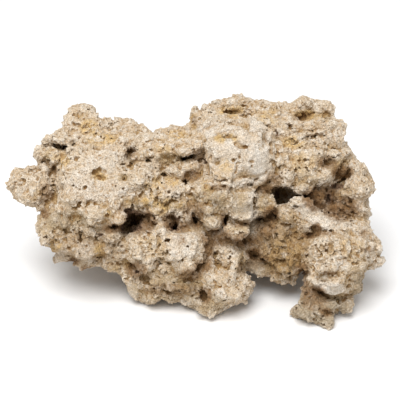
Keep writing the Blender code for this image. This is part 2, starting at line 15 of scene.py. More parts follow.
import bpy
import numpy as np
import openvdb
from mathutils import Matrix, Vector


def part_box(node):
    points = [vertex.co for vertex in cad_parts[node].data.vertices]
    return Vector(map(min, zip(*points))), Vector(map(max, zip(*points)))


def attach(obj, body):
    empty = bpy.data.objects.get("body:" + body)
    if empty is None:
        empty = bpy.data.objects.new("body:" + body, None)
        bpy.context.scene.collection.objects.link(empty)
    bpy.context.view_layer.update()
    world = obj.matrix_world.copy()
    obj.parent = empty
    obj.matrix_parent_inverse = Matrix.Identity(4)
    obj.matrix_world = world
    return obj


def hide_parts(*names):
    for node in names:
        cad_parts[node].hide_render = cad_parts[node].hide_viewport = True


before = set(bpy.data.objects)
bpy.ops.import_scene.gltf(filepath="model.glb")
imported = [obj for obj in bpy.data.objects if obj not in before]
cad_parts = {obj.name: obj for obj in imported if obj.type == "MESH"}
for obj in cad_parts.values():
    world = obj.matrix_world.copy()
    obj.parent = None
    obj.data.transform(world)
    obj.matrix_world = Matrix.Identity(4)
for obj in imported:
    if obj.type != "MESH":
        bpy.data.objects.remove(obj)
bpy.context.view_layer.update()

MM = 0.001
NODE = "reef_rock"
SEED = 5
TRIANGLES = 198000
TINY = 1e-6  # keeps divisors off zero

# How the face lies in the row frame.
LEAN = math.radians(30.0)  # how far the face leans back
FACE_ORIGIN_MM = np.array((-0.3, -13.5, 69.3))  # in the row frame
OUT_OF_FACE = (0.0, -math.cos(LEAN), math.sin(LEAN))
BACK_MM = -30.0  # surfaces lower than this on the face belong to the back
BACK_FADE_MM = 10.0  # how far above that the front is in full

# The camera looks straight at the face, so it looks down by the lean.
CAMERA_LENS_MM = 150.0
CAMERA_DISTANCE_M = 1.333
CAMERA_AIM_MM = (4.0, 8.0, 0.0)  # the middle of the picture, on the face

# The grid the surface is worked on.
VOXEL_MM = 0.8
REACH_MM = 9.0  # how far from the surface distances are kept
LOW_CORNER_MM = (-160.0, -100.0, -96.0)
HIGH_CORNER_MM = (160.0, 100.0, 58.0)

# Listed shapes.
FIRST_OUT_MM = 20.0  # where the search for the surface starts
SEARCHES = 3
LINE_STEP = 0.6  # from spot to spot, as a share of the line's half width
ZONE_REACH = 1.5  # where a zone ends, as a squared share of its half size
ZONE_FADE = 0.7  # the power that shapes its soft edge

# Evening the surface out.
SOLID_PASSES = 5  # blurs away the solid's own facets
LEVEL_SIZE_MM = 6.0
LEVEL_MOST_MM = 5.0  # the furthest that levelling moves the surface
LEVEL_PASSES = 4
SMOOTHED = 0.85  # how much of the seeded relief smooth places lose
LEVEL_SMOOTHED = 0.6  # how smooth level places are

# Uneven growth: (size of a swelling, how far it stands out), and the same for the rags of rims.
SWELLS_MM = ((9.0, 0.7), (5.0, 0.75), (2.8, 0.6))
RAGS_MM = ((4.0, 0.9), (2.0, 0.7))
SWELL_MIDDLE = 0.4  # parts below this share of a swelling's height are dents
CRAGGY_SWELLS = 1.4  # how much further craggy places swell
BACK_CRAGS = 0.4  # how craggy the back is, against the front
GRAIN_MM = 0.45

# Seeded balls: how many are tried, their radii from and to, and how much is shaved off.
NUBS = (7000, (1.0, 2.4), 0.5)
GRAINS = (30000, (0.8, 1.4), 0.3)
PORES = (24000, (0.7, 1.2), 0.2)
BALL_KINDS = 48
BALL_MARGIN = 3  # in cells, round a ball's own radius
FLATNESS = (0.7, 1.4)  # how far balls are stretched or squashed along each axis

# Seeded ragged pits: how many are tried, their balls' radii, and the stride between balls in cells.
CLEFTS = (3600, (0.8, 1.6), 2.2)
PITS = (1300, (0.7, 1.3), 1.6)
PIT_KINDS = 24
PIT_BALLS = (2, 8)  # from the first number to below the second
PIT_DEEP = 0.35  # how far the balls stray in depth, against sideways

# The mesh.
FRONT_THINNING = 0.4  # how readily the front is thinned out, against the back
THINNING_LEVELS = 10
ROUGHEN_MM = 0.25  # how far points are moved in or out at random
ROUGHEN_LESS = 0.6  # how much less smooth places are roughened

# Caves: the deep holes, painted dark brown inside as painted shade. The last three are shares of a hole's
# half sizes.
CAVE_MM = 7.0
CAVE_DARK_MM = 3.0  # how far in the painted shade is in full
CAVE_END = 1.3
CAVE_RIM = 1.35
CAVE_RIM_FADE = 0.3

# The studio.
FLOOR_HALF_M = 6.0
WORLD_STRENGTH = 0.52
KEY_PLACE_M = Vector((-0.4, -1.2, 2.6))
KEY_AIM_M = Vector((0.0, 0.0, 0.05))
KEY_SIZE_M = 2.0
KEY_WATTS = 86.0


class Spot(NamedTuple):
    """A rounded knob or hollow; turn is in degrees. Where out is not given, it is centred on the surface."""

    across: float
    up: float
    half_across: float
    half_up: float
    half_out: float = 2.0
    turn: float = 0.0
    out: float = None


class Bite(NamedTuple):
    """An oval that is cut right through the rock; turn is in degrees."""

    across: float
    up: float
    half_across: float
    half_up: float
    turn: float = 0.0


class Line(NamedTuple):
    """A ridge or groove that follows a path over the front surface."""

    half_wide: float
    half_out: float
    path: list


class Facet(NamedTuple):
    """A plane that trims the surface within its reach; its tilts are in degrees."""

    across: float
    up: float
    reach: float
    tilt_across: float
    tilt_up: float


class Zone(NamedTuple):
    """An oval part of the front face; strength is how much it counts, from 0 to 1."""

    across: float
    up: float
    half_across: float
    half_up: float
    strength: float = 1.0


class Change(NamedTuple):
    """How shapes are worked into the rock: fused on where sign is 1, cut out where it is -1."""

    sign: int
    rounding: float  # how wide the rims are rounded
    rags: float  # how ragged the rims are
    margin: float  # how far round a shape the rock changes


RAISED = Change(1, 1.6, 0.7, 3.5)
SUNK = Change(-1, 0.6, 1.0, 3.5)
BITTEN = Change(-1, 1.2, 0.7, 6.0)
TRIMMED = Change(-1, 0.5, 0.3, 2.0)


def each(kind, *rows):
    """One spot, bite, facet or zone for each row of numbers."""
    return [kind(*row) for row in rows]


def lines(*rows):
    """One line for each row: how wide and how high or deep it is, halved, and the points of its path."""
    return [Line(half_wide, half_out, path) for half_wide, half_out, *path in rows]


# Places where the outline steps in.
BITES = each(
    Bite,
    (-110, 72, 6.5, 8), (-104, 78, 3, 1.2), (-127, 53, 7.5, 1.7), (-130, -3, 8.5, 1.9, 12),
    (-32.7, 65.5, 2.3, 4.5, -15), (-65.5, 73.5, 2.2, 3.2), (-44.5, 71, 2.4, 3), (80.5, -66, 6, 7),
    (76, -76, 4, 3), (-137.5, 36, 2.6, 4), (-147.5, 33, 2.5, 2.5), (150.5, -36, 4.4, 1.7, 15),
    (147, -19.5, 4.6, 2.2, -35), (-66, -57.5, 8, 9),
)

# Walls and lips that stand in front of the solid's own caves.
FILLS = each(
    Spot,
    (-107, 55.8, 8, 3.2, 8), (-117, 56.5, 5, 3.5, 3), (-114, 38.5, 3.8, 5.5, 7, 0, -1),
    (-120.5, 38, 1.6, 3, 5, 0, -1), (-39, -9, 2.4, 3, 10, 0, 0), (-40, -13, 2.2, 2.4, 10, 0, -1),
    (-35.5, -6.5, 3, 4, 8, 0, 2), (-35, -12.5, 3.4, 2.6, 8, 0, 2), (-30.5, -7.5, 4, 4, 6, 0, 17),
    (-26, -13, 5, 3, 6, 0, 18), (-66, -15, 8, 3.4, 9, 0, 9), (-76, -14, 8, 4, 6, 0, 20),
    (-60, -16.5, 4, 3, 8, 0, 4), (-70, -20, 10, 5, 7, 0, 21), (-62, -22, 4.5, 4.5, 7, 0, 16),
    (-68, -28, 10, 6, 7, 0, 15), (-45, 42.5, 7, 3.4, 5, 0, 19), (-33, 42.5, 5, 3.2, 5, 0, 18),
    (-21, 40.5, 9, 4, 6, 0, 15), (-24, 48.5, 9, 3.6, 5, 0, 22), (-9, 48, 9, 4, 5, 0, 24),
    (2, 51, 7, 4, 7, 0, 25), (4, 44, 6, 6, 8, 0, 12), (-2, 27.5, 7, 4, 5, 0, 15), (11, -20, 5, 5, 6, 0, 8),
    (12, -32, 4.5, 12, 5, 0, 11), (4, -45.5, 4.5, 4, 6, 0, 13), (20, -20, 8, 6, 6, 0, 12),
    (21, -13, 3, 4, 6, 0, 14), (20, 20.5, 9, 3.4, 6, 0, 33), (-21.5, -8.5, 4, 4, 10), (82, 60, 5, 4, 5, 0, 4),
    (90, 57.5, 7, 6, 6, 0, 8), (100, 57.5, 8, 7, 6, 0, 8), (108, 56, 7, 8, 6, 0, 4), (114, 55, 5, 8, 5, 0, 1),
    (116, 63, 4, 6, 4, 0, 2), (79, 56.5, 7, 4.5, 7, 0, 8.5), (118, 33, 5, 6, 9), (86, 17.5, 7, 4.5, 8, 0, 18),
    (85, 5.8, 9, 3.4, 8), (61, -7, 5, 5, 9), (24, 18, 7, 3.5, 8), (42, 20, 9, 3.4, 11), (38, 23, 9, 3, 13),
    (48, 22.5, 6, 3, 12), (60, 46, 5, 10, 15, 0, 17), (59, 35, 5, 7, 13, 0, 17), (55, 28, 4, 4, 9, 0, 18),
    (58.5, 57, 5, 7, 14, 0, 17), (66, 44, 5, 12, 10, 0, 16), (97, 11, 6, 5, 5, 0, 5),
    (115.5, 12, 5, 5, 5, 0, -2), (28, 64, 9, 4, 3), (49, 66, 5, 5), (38.5, -37, 3.6, 7, 6.5),
    (55, 61.5, 3, 5.5, 2.5), (54.5, 59.5, 2.4, 4.5, 2.5), (37, 77, 6, 2.5, 2.2), (-113.5, 25, 3.5, 5, 3),
)

# Broken faces, flatter than the rest.
FACETS = each(
    Facet,
    (47, 44, 24, 33, -24), (14, 64, 10, -18, 30), (-108, -36, 8, -25, -15), (107, -60, 13, 5, -38),
    (-51, -62, 10, -30, -10),
)

# Lumps that stand out from the surface.
KNOBS = each(
    Spot,
    # The left block and the horn.
    (-124, 47, 4, 4, 3), (-113, 44, 5, 3.5, 2.5), (-60, -6, 4, 4, 3), (-78, -2, 6, 5), (-100, 8, 4, 3),
    (-145, 21, 4, 3), (-136, 25, 4, 3), (-128, 17, 4, 3.5), (-140, 15, 4, 3),
    # The lower left.
    (-118, -20, 6, 6), (-95, -22, 4, 4.5, 2.5), (-107, -15, 4, 5), (-112, -8, 3, 6), (-104, -6, 3, 5),
    (-68, -22, 4, 3.5, 2.5), (-60, -27, 4, 4), (-70, -40, 4, 3), (-83, -18, 4, 3),
    # The middle.
    (-6, -5, 3.5, 3.5), (4, -13, 3, 3, 3), (-32, 28, 4, 3), (-45, 33, 4, 4), (-14, 19, 5, 4), (-24, 12, 4, 4),
    (-40, 8, 4, 3), (-33, -1, 4, 3), (-18, 2, 4, 3), (0, 36, 4, 3), (-7, 34, 4, 3),
    # The lower middle.
    (-40, -22, 6, 4), (-25, -17, 5, 3), (-46, -34, 4, 5), (-32, -33, 5, 4), (-14, -35, 5, 4),
    (-4, -23, 5, 3.5), (24, -33, 4, 3), (31, -41, 4, 4), (28, -52, 5, 3), (14, -58, 4, 3), (36, -64, 4, 3),
    (20, -66, 3.5, 3), (6, -80, 3.5, 4), (14, -83, 3, 3), (-20, -58, 4, 3), (-34, -52, 4, 3),
    # The brow and what hangs below it.
    (24, 27, 5, 3), (20, 45, 5, 3, 1.6), (14, 57, 4, 3), (38, 61, 5, 3), (8, 15, 4, 5), (17, 11, 4, 2.5),
    (10, 0, 4, 3.5), (14, -9, 4, 3.5), (28, -16, 4, 3), (37, -18, 4, 3), (52, 6, 5, 4), (60, 2, 4, 4),
    # The upper right.
    (66, 80, 4, 4), (90, 86, 4, 3), (75, 60, 5, 3), (92, 66, 5, 2.5), (108, 68, 5, 2.5), (69, 40, 5, 4),
    (80, 33, 4, 4), (92, 28, 4, 3.5), (100, 50, 4, 3), (74, 23, 4, 3), (87, 18, 4, 3), (124, 22, 4, 4),
    (134, 17, 4, 4), (127, 33, 4, 4),
    # The right arm and its foot.
    (78, 1, 4, 4), (90, 2, 4, 3.5), (104, -12, 4, 3.5), (116, -15, 5, 4), (129, -16, 4, 4), (139, -30, 4, 4),
    (147, -31, 3, 3, 2.5), (150, -41, 3, 2.5), (128, -31, 5, 4), (118, -34, 4, 4), (109, -33, 2.5, 2.5),
    (96, -33, 4, 5), (101, -44, 4, 4), (113, -58, 4, 3), (126, -52, 4, 4), (84, -80, 3, 3), (94, -84, 4, 3),
    (110, -73, 4, 3),
    # Inside the recess beside the arm.
    (112, -2, 2.5, 2, 3), (117, 3, 2.2, 2.5, 3.5), (122, -1, 2.5, 2, 3), (126, 3, 2, 3, 3),
    (114, 8, 2.5, 2, 3), (121, 8.5, 2, 2, 3), (108, 2, 2, 2.5, 3), (118, -5, 2, 1.5, 2.5),
    # The wall of the right recess.
    (61, -25, 4, 4, 3), (70, -28, 5, 4, 3), (66, -38, 4, 4, 3), (77, -40, 4, 4, 3), (69, -47, 4, 3, 3),
    (58, -16, 4, 3, 3), (70, -14, 4, 4, 3),
)

# Rims and edges.
RIDGES = lines(
    # The left block.
    (2.8, 2, (-100, 47), (-90, 48.5), (-80, 50), (-62, 48), (-56, 44)), (2.2, 1.6, (-86, 1), (-84, -8)),
    (1.8, 1.8, (-69, 6), (-65, 8), (-61, 4)),
    (2.2, 1.8, (-84, -10), (-75, -12), (-62, -8), (-57, -10), (-59, -13)), (1.8, 1.6, (-60, 28), (-53, 29)),
    # The middle.
    (2.4, 2, (-18, 32), (-8, 27)), (2.4, 1.8, (-47, 45), (-38, 46), (-30, 45)),
    (2.2, 1.6, (-42, 16), (-36, 22), (-37, 30)),
    # The brow.
    (2.6, 1.6, (0, 63), (9, 68), (18, 72)),
    (2.2, 1.6, (3, 47), (10, 42), (9, 37), (10, 30), (8, 27), (12, 24)),
    (2.2, 1.6, (12, 24), (15, 22), (30, 20.5), (45, 19), (52, 22), (59, 30)),
    # The lower middle.
    (2.2, 1.6, (5, -20), (8, -25), (9, -33), (6, -38), (0, -41), (-3, -45), (-12, -48)),
    (2.2, 1.6, (-47, -15), (-34, -14), (-22, -18)),
    # The right arm.
    (2.4, 1.8, (75, 5), (80, 8), (88, 8.5), (93, 5), (97, 0), (105, -4), (112, -7), (122, -9), (130, -11)),
    (2, 1.6, (112, -24), (118, -26), (122, -33)), (2, 1.6, (96, -57), (106, -59), (118, -57)),
)

# Creases and slits.
GROOVES = lines(
    # The horn and the left block.
    (2.4, 2, (-119, 19), (-117, 11), (-118, 2)), (0.9, 2, (-97, 69), (-93, 67), (-89, 65.5)),
    (0.9, 2, (-107, 10), (-103, 16), (-97, 20)), (0.8, 1.6, (-89, 1), (-86, -2), (-84, -5)),
    (0.8, 1.6, (-129, 28), (-124, 33)), (1.4, 3, (-108, 34), (-103.5, 40), (-101, 46)),
    (1.4, 3, (-107, 30), (-107, 18), (-106, 5)), (0.9, 2.5, (-106, 13), (-100, 19), (-96, 20)),
    (1.2, 2.5, (-81, 30), (-76, 31.5), (-72, 31)), (1.1, 2.5, (-85, 6), (-88, 0), (-87, -8)),
    # The middle and below it.
    (0.9, 2.5, (-40, 39.5), (-36, 40), (-34, 43)), (1.2, 2.5, (-54, -39), (-51, -44), (-47, -50), (-42, -52)),
    (1.1, 2.5, (-45, -60), (-38, -58), (-34, -61)), (1, 2.2, (-30, -70), (-15, -71), (-6, -69)),
    (1, 2.5, (-12, -56), (-4, -55), (2, -58)), (0.9, 2.5, (-47, -60), (-44, -64), (-42, -67)),
    (1.3, 2.5, (-27, 33), (-22, 36)), (1, 4, (10, 8), (16, 6.5), (21, 5)), (1.2, 3.5, (-26, 22), (-20, 26)),
    (1.2, 3, (-31, 8), (-28, 14), (-31, 20)), (1.1, 2.8, (-12, 11), (-4, 12.5), (1, 14), (4, 9)),
    (1.1, 2.8, (-44, 11), (-41, 16), (-37, 20)), (1.1, 2.8, (-24, 3), (-19, 8), (-14, 7)),
    (1, 2.5, (4, 2), (8, 6), (14, 4)), (1, 2.5, (16, 28), (20, 26.5), (24, 24)),
    (1, 2.5, (64, 30), (68, 27), (70, 22)), (1, 2.5, (80, 33), (81, 27), (80, 22)),
    (1, 2.5, (88, 34), (93, 31), (98, 31)), (1, 2.5, (-90, -12), (-95, -11), (-98, -15)),
    (1, 2.5, (-109, -14), (-103, -18), (-97, -18)),
    # The brow.
    (0.9, 2.2, (63, 43), (60.5, 47), (61, 53)), (1, 3.5, (55, 63), (61, 63.5)),
    (0.8, 1.6, (33, 30), (34, 37), (47, 38.5)), (0.8, 1.4, (33, 53.5), (37, 51), (41, 50)),
    # The upper right.
    (2.2, 7, (88.5, 57.8), (91, 58.4), (96, 59)), (1.4, 5, (96, 59.6), (104, 60.6)),
    (1.2, 5, (89, 58), (89.3, 56)), (2, 6, (119, 25), (113, 21), (108, 14), (105.5, 9), (107, 5)),
    (2, 8, (78, 10.8), (84, 10.5), (91, 10.8)),
    # Between the middle and the right recess.
    (1.2, 3.5, (26, -4), (24, -9), (22, -13)), (1.2, 3, (66, -11), (72, -12.5), (77, -11)),
    (1.3, 3.5, (65.5, -10), (65.5, -4), (67, 1), (70, 3.5), (74, 6.5)),
    (1.3, 4, (89, 10.5), (94, 7), (96.5, 2), (101, -1.5), (107, -4)), (1.2, 2.5, (36, -40), (36, -47)),
    (1.5, 4, (48, 16), (47.5, 6), (47.5, -4)),
    # The lower middle.
    (0.9, 2.5, (-32, -40), (-26, -42), (-20, -42)), (1.3, 2.2, (-26, -65), (-20, -66)),
    (1.3, 2.2, (-16, -65), (-8, -65)), (0.8, 2.2, (-20, -58), (-14, -58), (-8, -56)),
    (1, 2.5, (0, -42), (4, -43), (9, -41)), (1, 3, (-28, -20), (-29, -30), (-33, -38)),
    # The right arm and its foot.
    (1, 3.5, (100, -17), (110, -17)), (0.9, 2.5, (101, -52), (105, -51), (110, -51)),
    (0.8, 2, (98, -56), (104, -57), (108, -59)), (1.6, 5, (95, -63), (101, -67.5), (107, -70.5)),
    (1.2, 3, (88, -27), (90, -36), (87, -43)), (1, 3, (53, -22), (57, -26), (55, -31)),
    (1, 3, (63, -29), (68, -31), (74, -29)), (1, 3, (62, -39), (68, -41), (76, -40)),
    (1, 3, (76, -20), (82, -23), (88, -22)), (1, 3, (56, -12), (62, -15), (66, -20)),
    (1.2, 3, (124, -22), (126, -30), (124, -38)),
)

# Pores, dents and caves.
HOLES = each(
    Spot,
    # The left block, the horn and the lower left.
    (-105, 38.5, 4.5, 3, 3), (-104, 49.5, 4, 2.2, 10), (-110.5, 52.5, 3.5, 1.4, 5, -30),
    (-98.5, 52, 2.6, 1.6, 3), (-86, 68, 3.4, 3, 2.5), (-81, 71, 1.5, 1.5, 2.5), (-87, 61.5, 3, 1.3, 3),
    (-83.5, 63, 1, 2, 3), (-79, 61, 1.6, 1, 3), (-145, 21.5, 2, 0.9), (-131, 20, 2, 1.2, 2.5),
    (-127, 8, 2.5, 1.4, 2.5), (-137.5, 23, 1.6, 0.9, 3), (-122, 39, 1.6, 1.2, 3), (-121, 16, 1.6, 2.6, 3),
    (-114, 16, 1.8, 2.6, 3), (-95, 18.6, 1.2, 0.8, 3), (-91.8, 18.8, 1, 0.8, 3), (-88.3, 18.4, 1.4, 0.8, 3),
    (-63.5, 18.8, 1, 1.3, 3), (-60.5, 18, 1.4, 0.7, 3), (-57.5, 17.5, 1, 0.6), (-50, 19, 1.5, 1),
    (-112.5, 33, 2.2, 2.6, 5), (-110.5, 27.5, 1.2, 1.5, 3), (-96, 2.5, 2.8, 1.6, 3.5),
    (-91.5, 4.5, 1.8, 2.4, 3), (-70, -3, 2, 2, 4), (-76, 26, 5, 3, 3), (-58, 27, 3.4, 2.6, 2.2),
    (-57.5, 24, 2.6, 1, 3), (-50, 25, 2.6, 1.3), (-57.5, 36.4, 2.2, 0.9, 4), (-52, 46.5, 4.8, 3.2),
    (-50.5, 44, 2.6, 1.3, 3.5), (-95, 41, 3, 1.6, 3), (-80, 11, 1, 1, 4), (-75, 2, 1, 1, 4),
    (-91.5, -22.5, 1.1, 3.2, 6), (-93, -17, 2.6, 1.3, 3), (-75, -20.3, 2.5, 1.3, 8), (-65, -13.5, 5, 2.4, 6),
    (-97, -40.5, 3.6, 2.2, 5),
    # The middle.
    (-6.5, 40.2, 5.5, 1.6, 9), (-10, 40, 2, 2.4, 8), (8.8, 38.5, 1.4, 2.2, 7), (-18, 38, 3, 1, 3),
    (-20, 41.3, 6, 2.6, 2.2), (-24, 28, 2.4, 1.6, 6), (-3, 27.5, 6.5, 3, 4, 0, 22), (-8, 22.3, 1.1, 2.3, 6),
    (9, 19, 2, 1.8, 2.5), (-55.5, -1.5, 2.4, 2.4, 10), (-51, 2, 1.1, 2, 5), (-57, -15.5, 3.4, 3, 12),
    (-50, -8, 6, 7, 20, 0, 15), (-55, -14.5, 5, 3.8, 18, 0, 12), (-46.5, -14.5, 4, 3.8, 18, 0, 15),
    (-53.5, -1, 3, 3.6, 12, 0, 18), (-38.5, -1, 1.3, 3, 5), (-14, -6, 2.4, 1.9, 8, 0, 19),
    (-16.5, -15.3, 3.6, 3, 11, 0, 16), (-21, -12, 2, 2, 3), (-2, -4, 1.3, 4, 4, 30), (2, -10, 3.4, 1.3, 5),
    # The brow and below it.
    (17.5, 37.5, 2.2, 1, 2.5, 30), (31, 40, 1, 0.8, 3), (45.5, 35.5, 1.2, 0.8, 1.2),
    (41.2, 50.3, 1.1, 1.5, 2.6), (36, 43, 1.2, 1.8, 2.4), (30, 78, 6.5, 1.8, 1), (20, 18.6, 6, 1.2, 2.2),
    (29, 17, 2, 3, 3, 20), (39.5, -11.5, 2, 1.8, 4), (52, -7.5, 3, 2.4, 9), (25, 58, 8.5, 2.8, 2.5),
    (-1.5, 71, 2, 4, 2.5), (39, 83, 2.4, 1.3, 3),
    # The upper right.
    (65.5, 61, 1.2, 2.2, 7), (75.5, 66.5, 2.4, 2.4, 4), (79, 54, 7.5, 3.6, 3), (86, 50.8, 1.8, 0.8, 4),
    (83.5, 49, 0.9, 1.4, 4), (90, 76.5, 8, 2.4, 3.4, 8, -7), (83, 71.8, 2.8, 1.3, 7, 0, -1),
    (105, 75.5, 3.6, 2.8, 1.8), (104.5, 72, 1.8, 0.9, 5), (83, 39.5, 1.4, 1.2), (105.5, 38.5, 7.5, 4, 2.6),
    (106.5, -2.5, 2.8, 1.8, 7), (107, 9.5, 2, 5, 12, 10, 0), (113.5, 18.8, 5.5, 2, 12, 38, 0),
    (110, 5, 2, 2.5, 4), (115, 1, 2, 1.6, 4), (119.5, 4.5, 1.6, 2, 4), (124, 6, 1.6, 2, 4),
    (119, -2.5, 2, 1.4, 4), (125, -2, 1.6, 1.8, 4), (114, -5, 2, 1.2, 3), (65, 13, 2.6, 4.4, 7),
    (66, 8, 2.5, 1.4, 4), (58.5, 14.5, 2, 1, 4, -30), (61.5, -5, 4.6, 5, 6.9, 0, 20),
    (61, -5, 5, 4.6, 6.9, 0, 11), (64.5, 0, 2.6, 3, 6.9, 0, 19),
    # The lower middle.
    (-22, -24, 2.2, 1.6, 4), (-6, -29, 1.2, 1, 3), (17, -35, 1.6, 2.6, 5), (18, -43, 2.6, 2, 6),
    (36, -43, 1.6, 1.6, 6), (37, -48, 1.6, 1.6, 6), (7, -68, 4.5, 5.5, 4.5), (9.5, -67.5, 3.2, 3.8, 4),
    (-22, -25, 2.2, 2, 2.5), (8.5, -28, 1.4, 1.4, 6), (-46, -50, 2.4, 1.6, 7), (41, -24, 4, 3, 3),
    (44.5, -33, 1.6, 2.6, 5), (47, -37, 3.4, 1.4, 5, -25), (53, -39, 4, 1.3, 4),
    # The right arm and its foot.
    (108.5, -28.5, 3, 1.8, 3, 30), (105.5, -32, 1.5, 3, 2.2), (101.5, -30, 2.4, 1.2),
    (95, -14.5, 3, 3.4, 3.2), (92, -19.5, 4.5, 1.3, 3, 20), (123, -61, 2.2, 1.8, 2.5),
    (87, -49, 2, 4, 7, -20), (104.5, -81, 2.6, 1.6, 2.5),
)

# Broad faces that are nearly flat under their fine grain.
LEVEL = each(
    Zone,
    (38, 5, 8, 12, 0.9), (52, -47, 9, 5, 0.8), (-80, 28, 27, 19, 0.9), (-80, 57, 18, 6, 0.6),
    (-100, 8, 8, 8, 0.6), (28, 58, 22, 13, 0.8), (50, 36, 11, 15, 0.9), (26, 34, 14, 12, 0.7),
    (-10, -28, 11, 9, 0.6), (-32, -24, 12, 8, 0.5), (100, 66, 16, 6, 0.6), (112, -14, 16, 6, 0.5),
)

# Places that stay smooth: broken faces and worn flakes.
SMOOTH = each(
    Zone,
    (57, 56, 4, 8), (50, 36, 9, 14), (36, 42, 22, 20, 0.75), (14, 62, 10, 7, 0.8), (39, 4, 9, 12, 0.8),
    (-108, -38, 5, 6), (-86, -36, 9, 8, 0.4), (-50, -62, 5, 9), (118, -44, 3, 6, 0.8), (52, -47, 11, 5),
    (107, -63, 13, 5), (-78, -2, 8, 7, 0.7), (-78, 36, 12, 5, 0.6), (-100, 8, 5, 5, 0.7),
    (104, -77, 7, 4, 0.8), (-10, -28, 9, 6, 0.6), (48, 65, 6, 5, 0.6), (91, 1, 9, 5, 0.6),
)

# Places with the most lumps and crevices.
CRAGGY = each(
    Zone,
    (-112, -16, 14, 22), (-90, -20, 26, 14, 0.7), (-68, -36, 16, 10), (-34, 12, 16, 16),
    (-12, 6, 14, 12, 0.8), (-35, -30, 18, 14, 0.8), (-25, -60, 34, 12), (12, 10, 14, 12, 0.8),
    (30, -16, 12, 8, 0.6), (26, -40, 14, 14, 0.6), (70, -32, 18, 24), (56, 5, 9, 9, 0.7),
    (76, 34, 18, 14, 0.7), (108, -32, 22, 16, 0.8), (128, -45, 14, 20, 0.8), (100, -76, 24, 12),
    (117, 2, 12, 10), (-70, 62, 22, 9, 0.8), (-110, 48, 14, 10, 0.7), (-125, 20, 14, 14, 0.6),
    (-20, 56, 24, 9, 0.5), (30, 83, 34, 6, 0.7), (85, 52, 14, 8, 0.6), (10, -72, 16, 12, 0.8), (-57, 2, 8, 8),
)

# Where the stone is paler, yellower, duller, greyer and browner; the duller, greyer and browner places are
# partly stain and partly painted shade in recesses and under overhangs.
PALE = each(
    Zone,
    (50, 38, 10, 15), (36, 46, 22, 18, 0.6), (14, 64, 9, 6), (49, 67, 6, 7), (56, 42, 3, 12),
    (-86, -34, 9, 8, 0.6), (-108, -39, 5, 6), (-50, -63, 5, 9, 0.8), (107, -63, 12, 5), (-78, 36, 12, 5, 0.6),
    (-78, 16, 20, 10, 0.6), (-92, 20, 12, 10, 0.5), (-68, 38, 12, 10, 0.5), (57, 55, 4, 8, 0.7),
    (45, 3, 5, 10, 0.7), (36, 20, 9, 2.5, 0.6), (-10, -30, 12, 10, 0.6), (145, -38, 8, 8, 0.5),
    (-80, 22, 7, 4, 0.6), (118, -44, 4, 7), (19, -68, 4, 4, 0.8), (30, 62, 8, 5, 0.5), (-90, 28, 7, 6, 0.5),
    (110, -12, 12, 5, 0.4), (20, 50, 12, 8, 0.4), (60, -34, 5, 7, 0.5), (80, -15, 10, 4, 0.4),
    (66, -22, 4, 4, 0.4), (47, 24, 8, 4, 0.7), (46, 4, 2.4, 10, 0.8), (-55, 13, 9, 5, 0.8),
    (110, 60, 8, 5, 0.5), (90, 1, 10, 6, 0.6), (98, -7, 8, 4, 0.6), (134, 4, 5, 6, 0.4),
)

OCHRE = each(
    Zone,
    (25, 57, 9, 4), (58, 76, 9, 7, 0.7), (30, 78.5, 11, 5), (90, 76, 10, 4), (-85, 66, 7, 6),
    (-105, 39, 5, 4), (-128, 12, 8, 5, 0.5), (26, 36, 8, 5, 0.7), (-1, 71, 3, 6), (79, 54, 9, 5),
    (-35, -24, 14, 6, 0.35), (-30, -33, 10, 6, 0.35), (-113, -28, 6, 5), (-76, -32, 5, 5), (-74, 57, 12, 5),
    (-113, 44, 8, 5, 0.7), (-70, -3, 3, 3), (-76, 26, 6, 4), (-33, 17, 7, 9), (-36, 8, 7, 5), (-29, 1, 7, 5),
    (-18, 5, 7, 4, 0.7), (-18, 23, 6, 4), (9, 19, 4, 4), (-25, 50, 8, 4, 0.6), (-12, 60, 9, 4),
    (106, -31, 6, 5, 0.5), (72, -36, 13, 13, 0.8), (80, -50, 7, 6, 0.5), (62, -44, 7, 5, 0.5),
    (88, 38, 12, 8, 0.5), (125, -30, 9, 8, 0.5), (-5, -62, 12, 6, 0.4), (38, -40, 3, 7, 0.5),
)

# Dull tan zones: stain, and painted shade below the brow, on recessed walls and on the lower parts.
TAN_STAIN_AND_SHADE = each(
    Zone,
    (98, -83, 20, 9, 0.3), (13, 8, 13, 10, 0.65), (55, 5, 8, 8, 0.8), (-57, -14, 5, 3),
    (70, -31, 20, 27, 0.9), (-118, -10, 9, 11, 0.7), (-100, -8, 12, 8, 0.5), (-60, -46, 9, 7, 0.8),
    (-37, 14, 6, 6, 0.5), (12, -75, 12, 7, 0.6), (62, 16, 10, 8, 0.6), (-92, -28, 34, 20, 0.3),
    (-25, -61, 32, 13, 0.65), (-47, 5, 11, 5), (-20, 5, 14, 5, 0.9), (-20, 41, 10, 5, 0.9),
    (24, 58, 9, 3, 0.9), (89, 76, 9, 4, 0.9), (105, 75, 5, 4, 0.7), (-58, 26, 5, 3, 0.8),
    (12, -5, 12, 10, 0.35), (130, -52, 12, 14, 0.5), (57, 17, 9, 5, 0.8), (117, 33, 7, 8, 0.8),
    (36, -45, 4, 6, 0.5), (35, -13, 10, 4, 0.6), (33, 6, 9, 9, 0.45), (117, 14, 9, 6, 0.7),
    (90, 23, 10, 5, 0.6),
)

# Grey zones: greyer stone, and painted shade on the foot under the lobe and on faces that turn down.
GREY_TONE_AND_SHADE = each(
    Zone,
    (100, -79, 24, 13, 0.9), (50, -46, 12, 5), (-102, -9, 16, 8, 0.6), (-95, -38, 20, 5, 0.4),
    (12, 8, 12, 9, 0.4), (-15, -62, 18, 8, 0.4), (130, -60, 8, 9, 0.6), (60, 36, 6, 8, 0.3),
    (84, 30, 8, 6, 0.4), (37, 3, 9, 9, 0.35), (8, -74, 14, 8, 0.5),
)
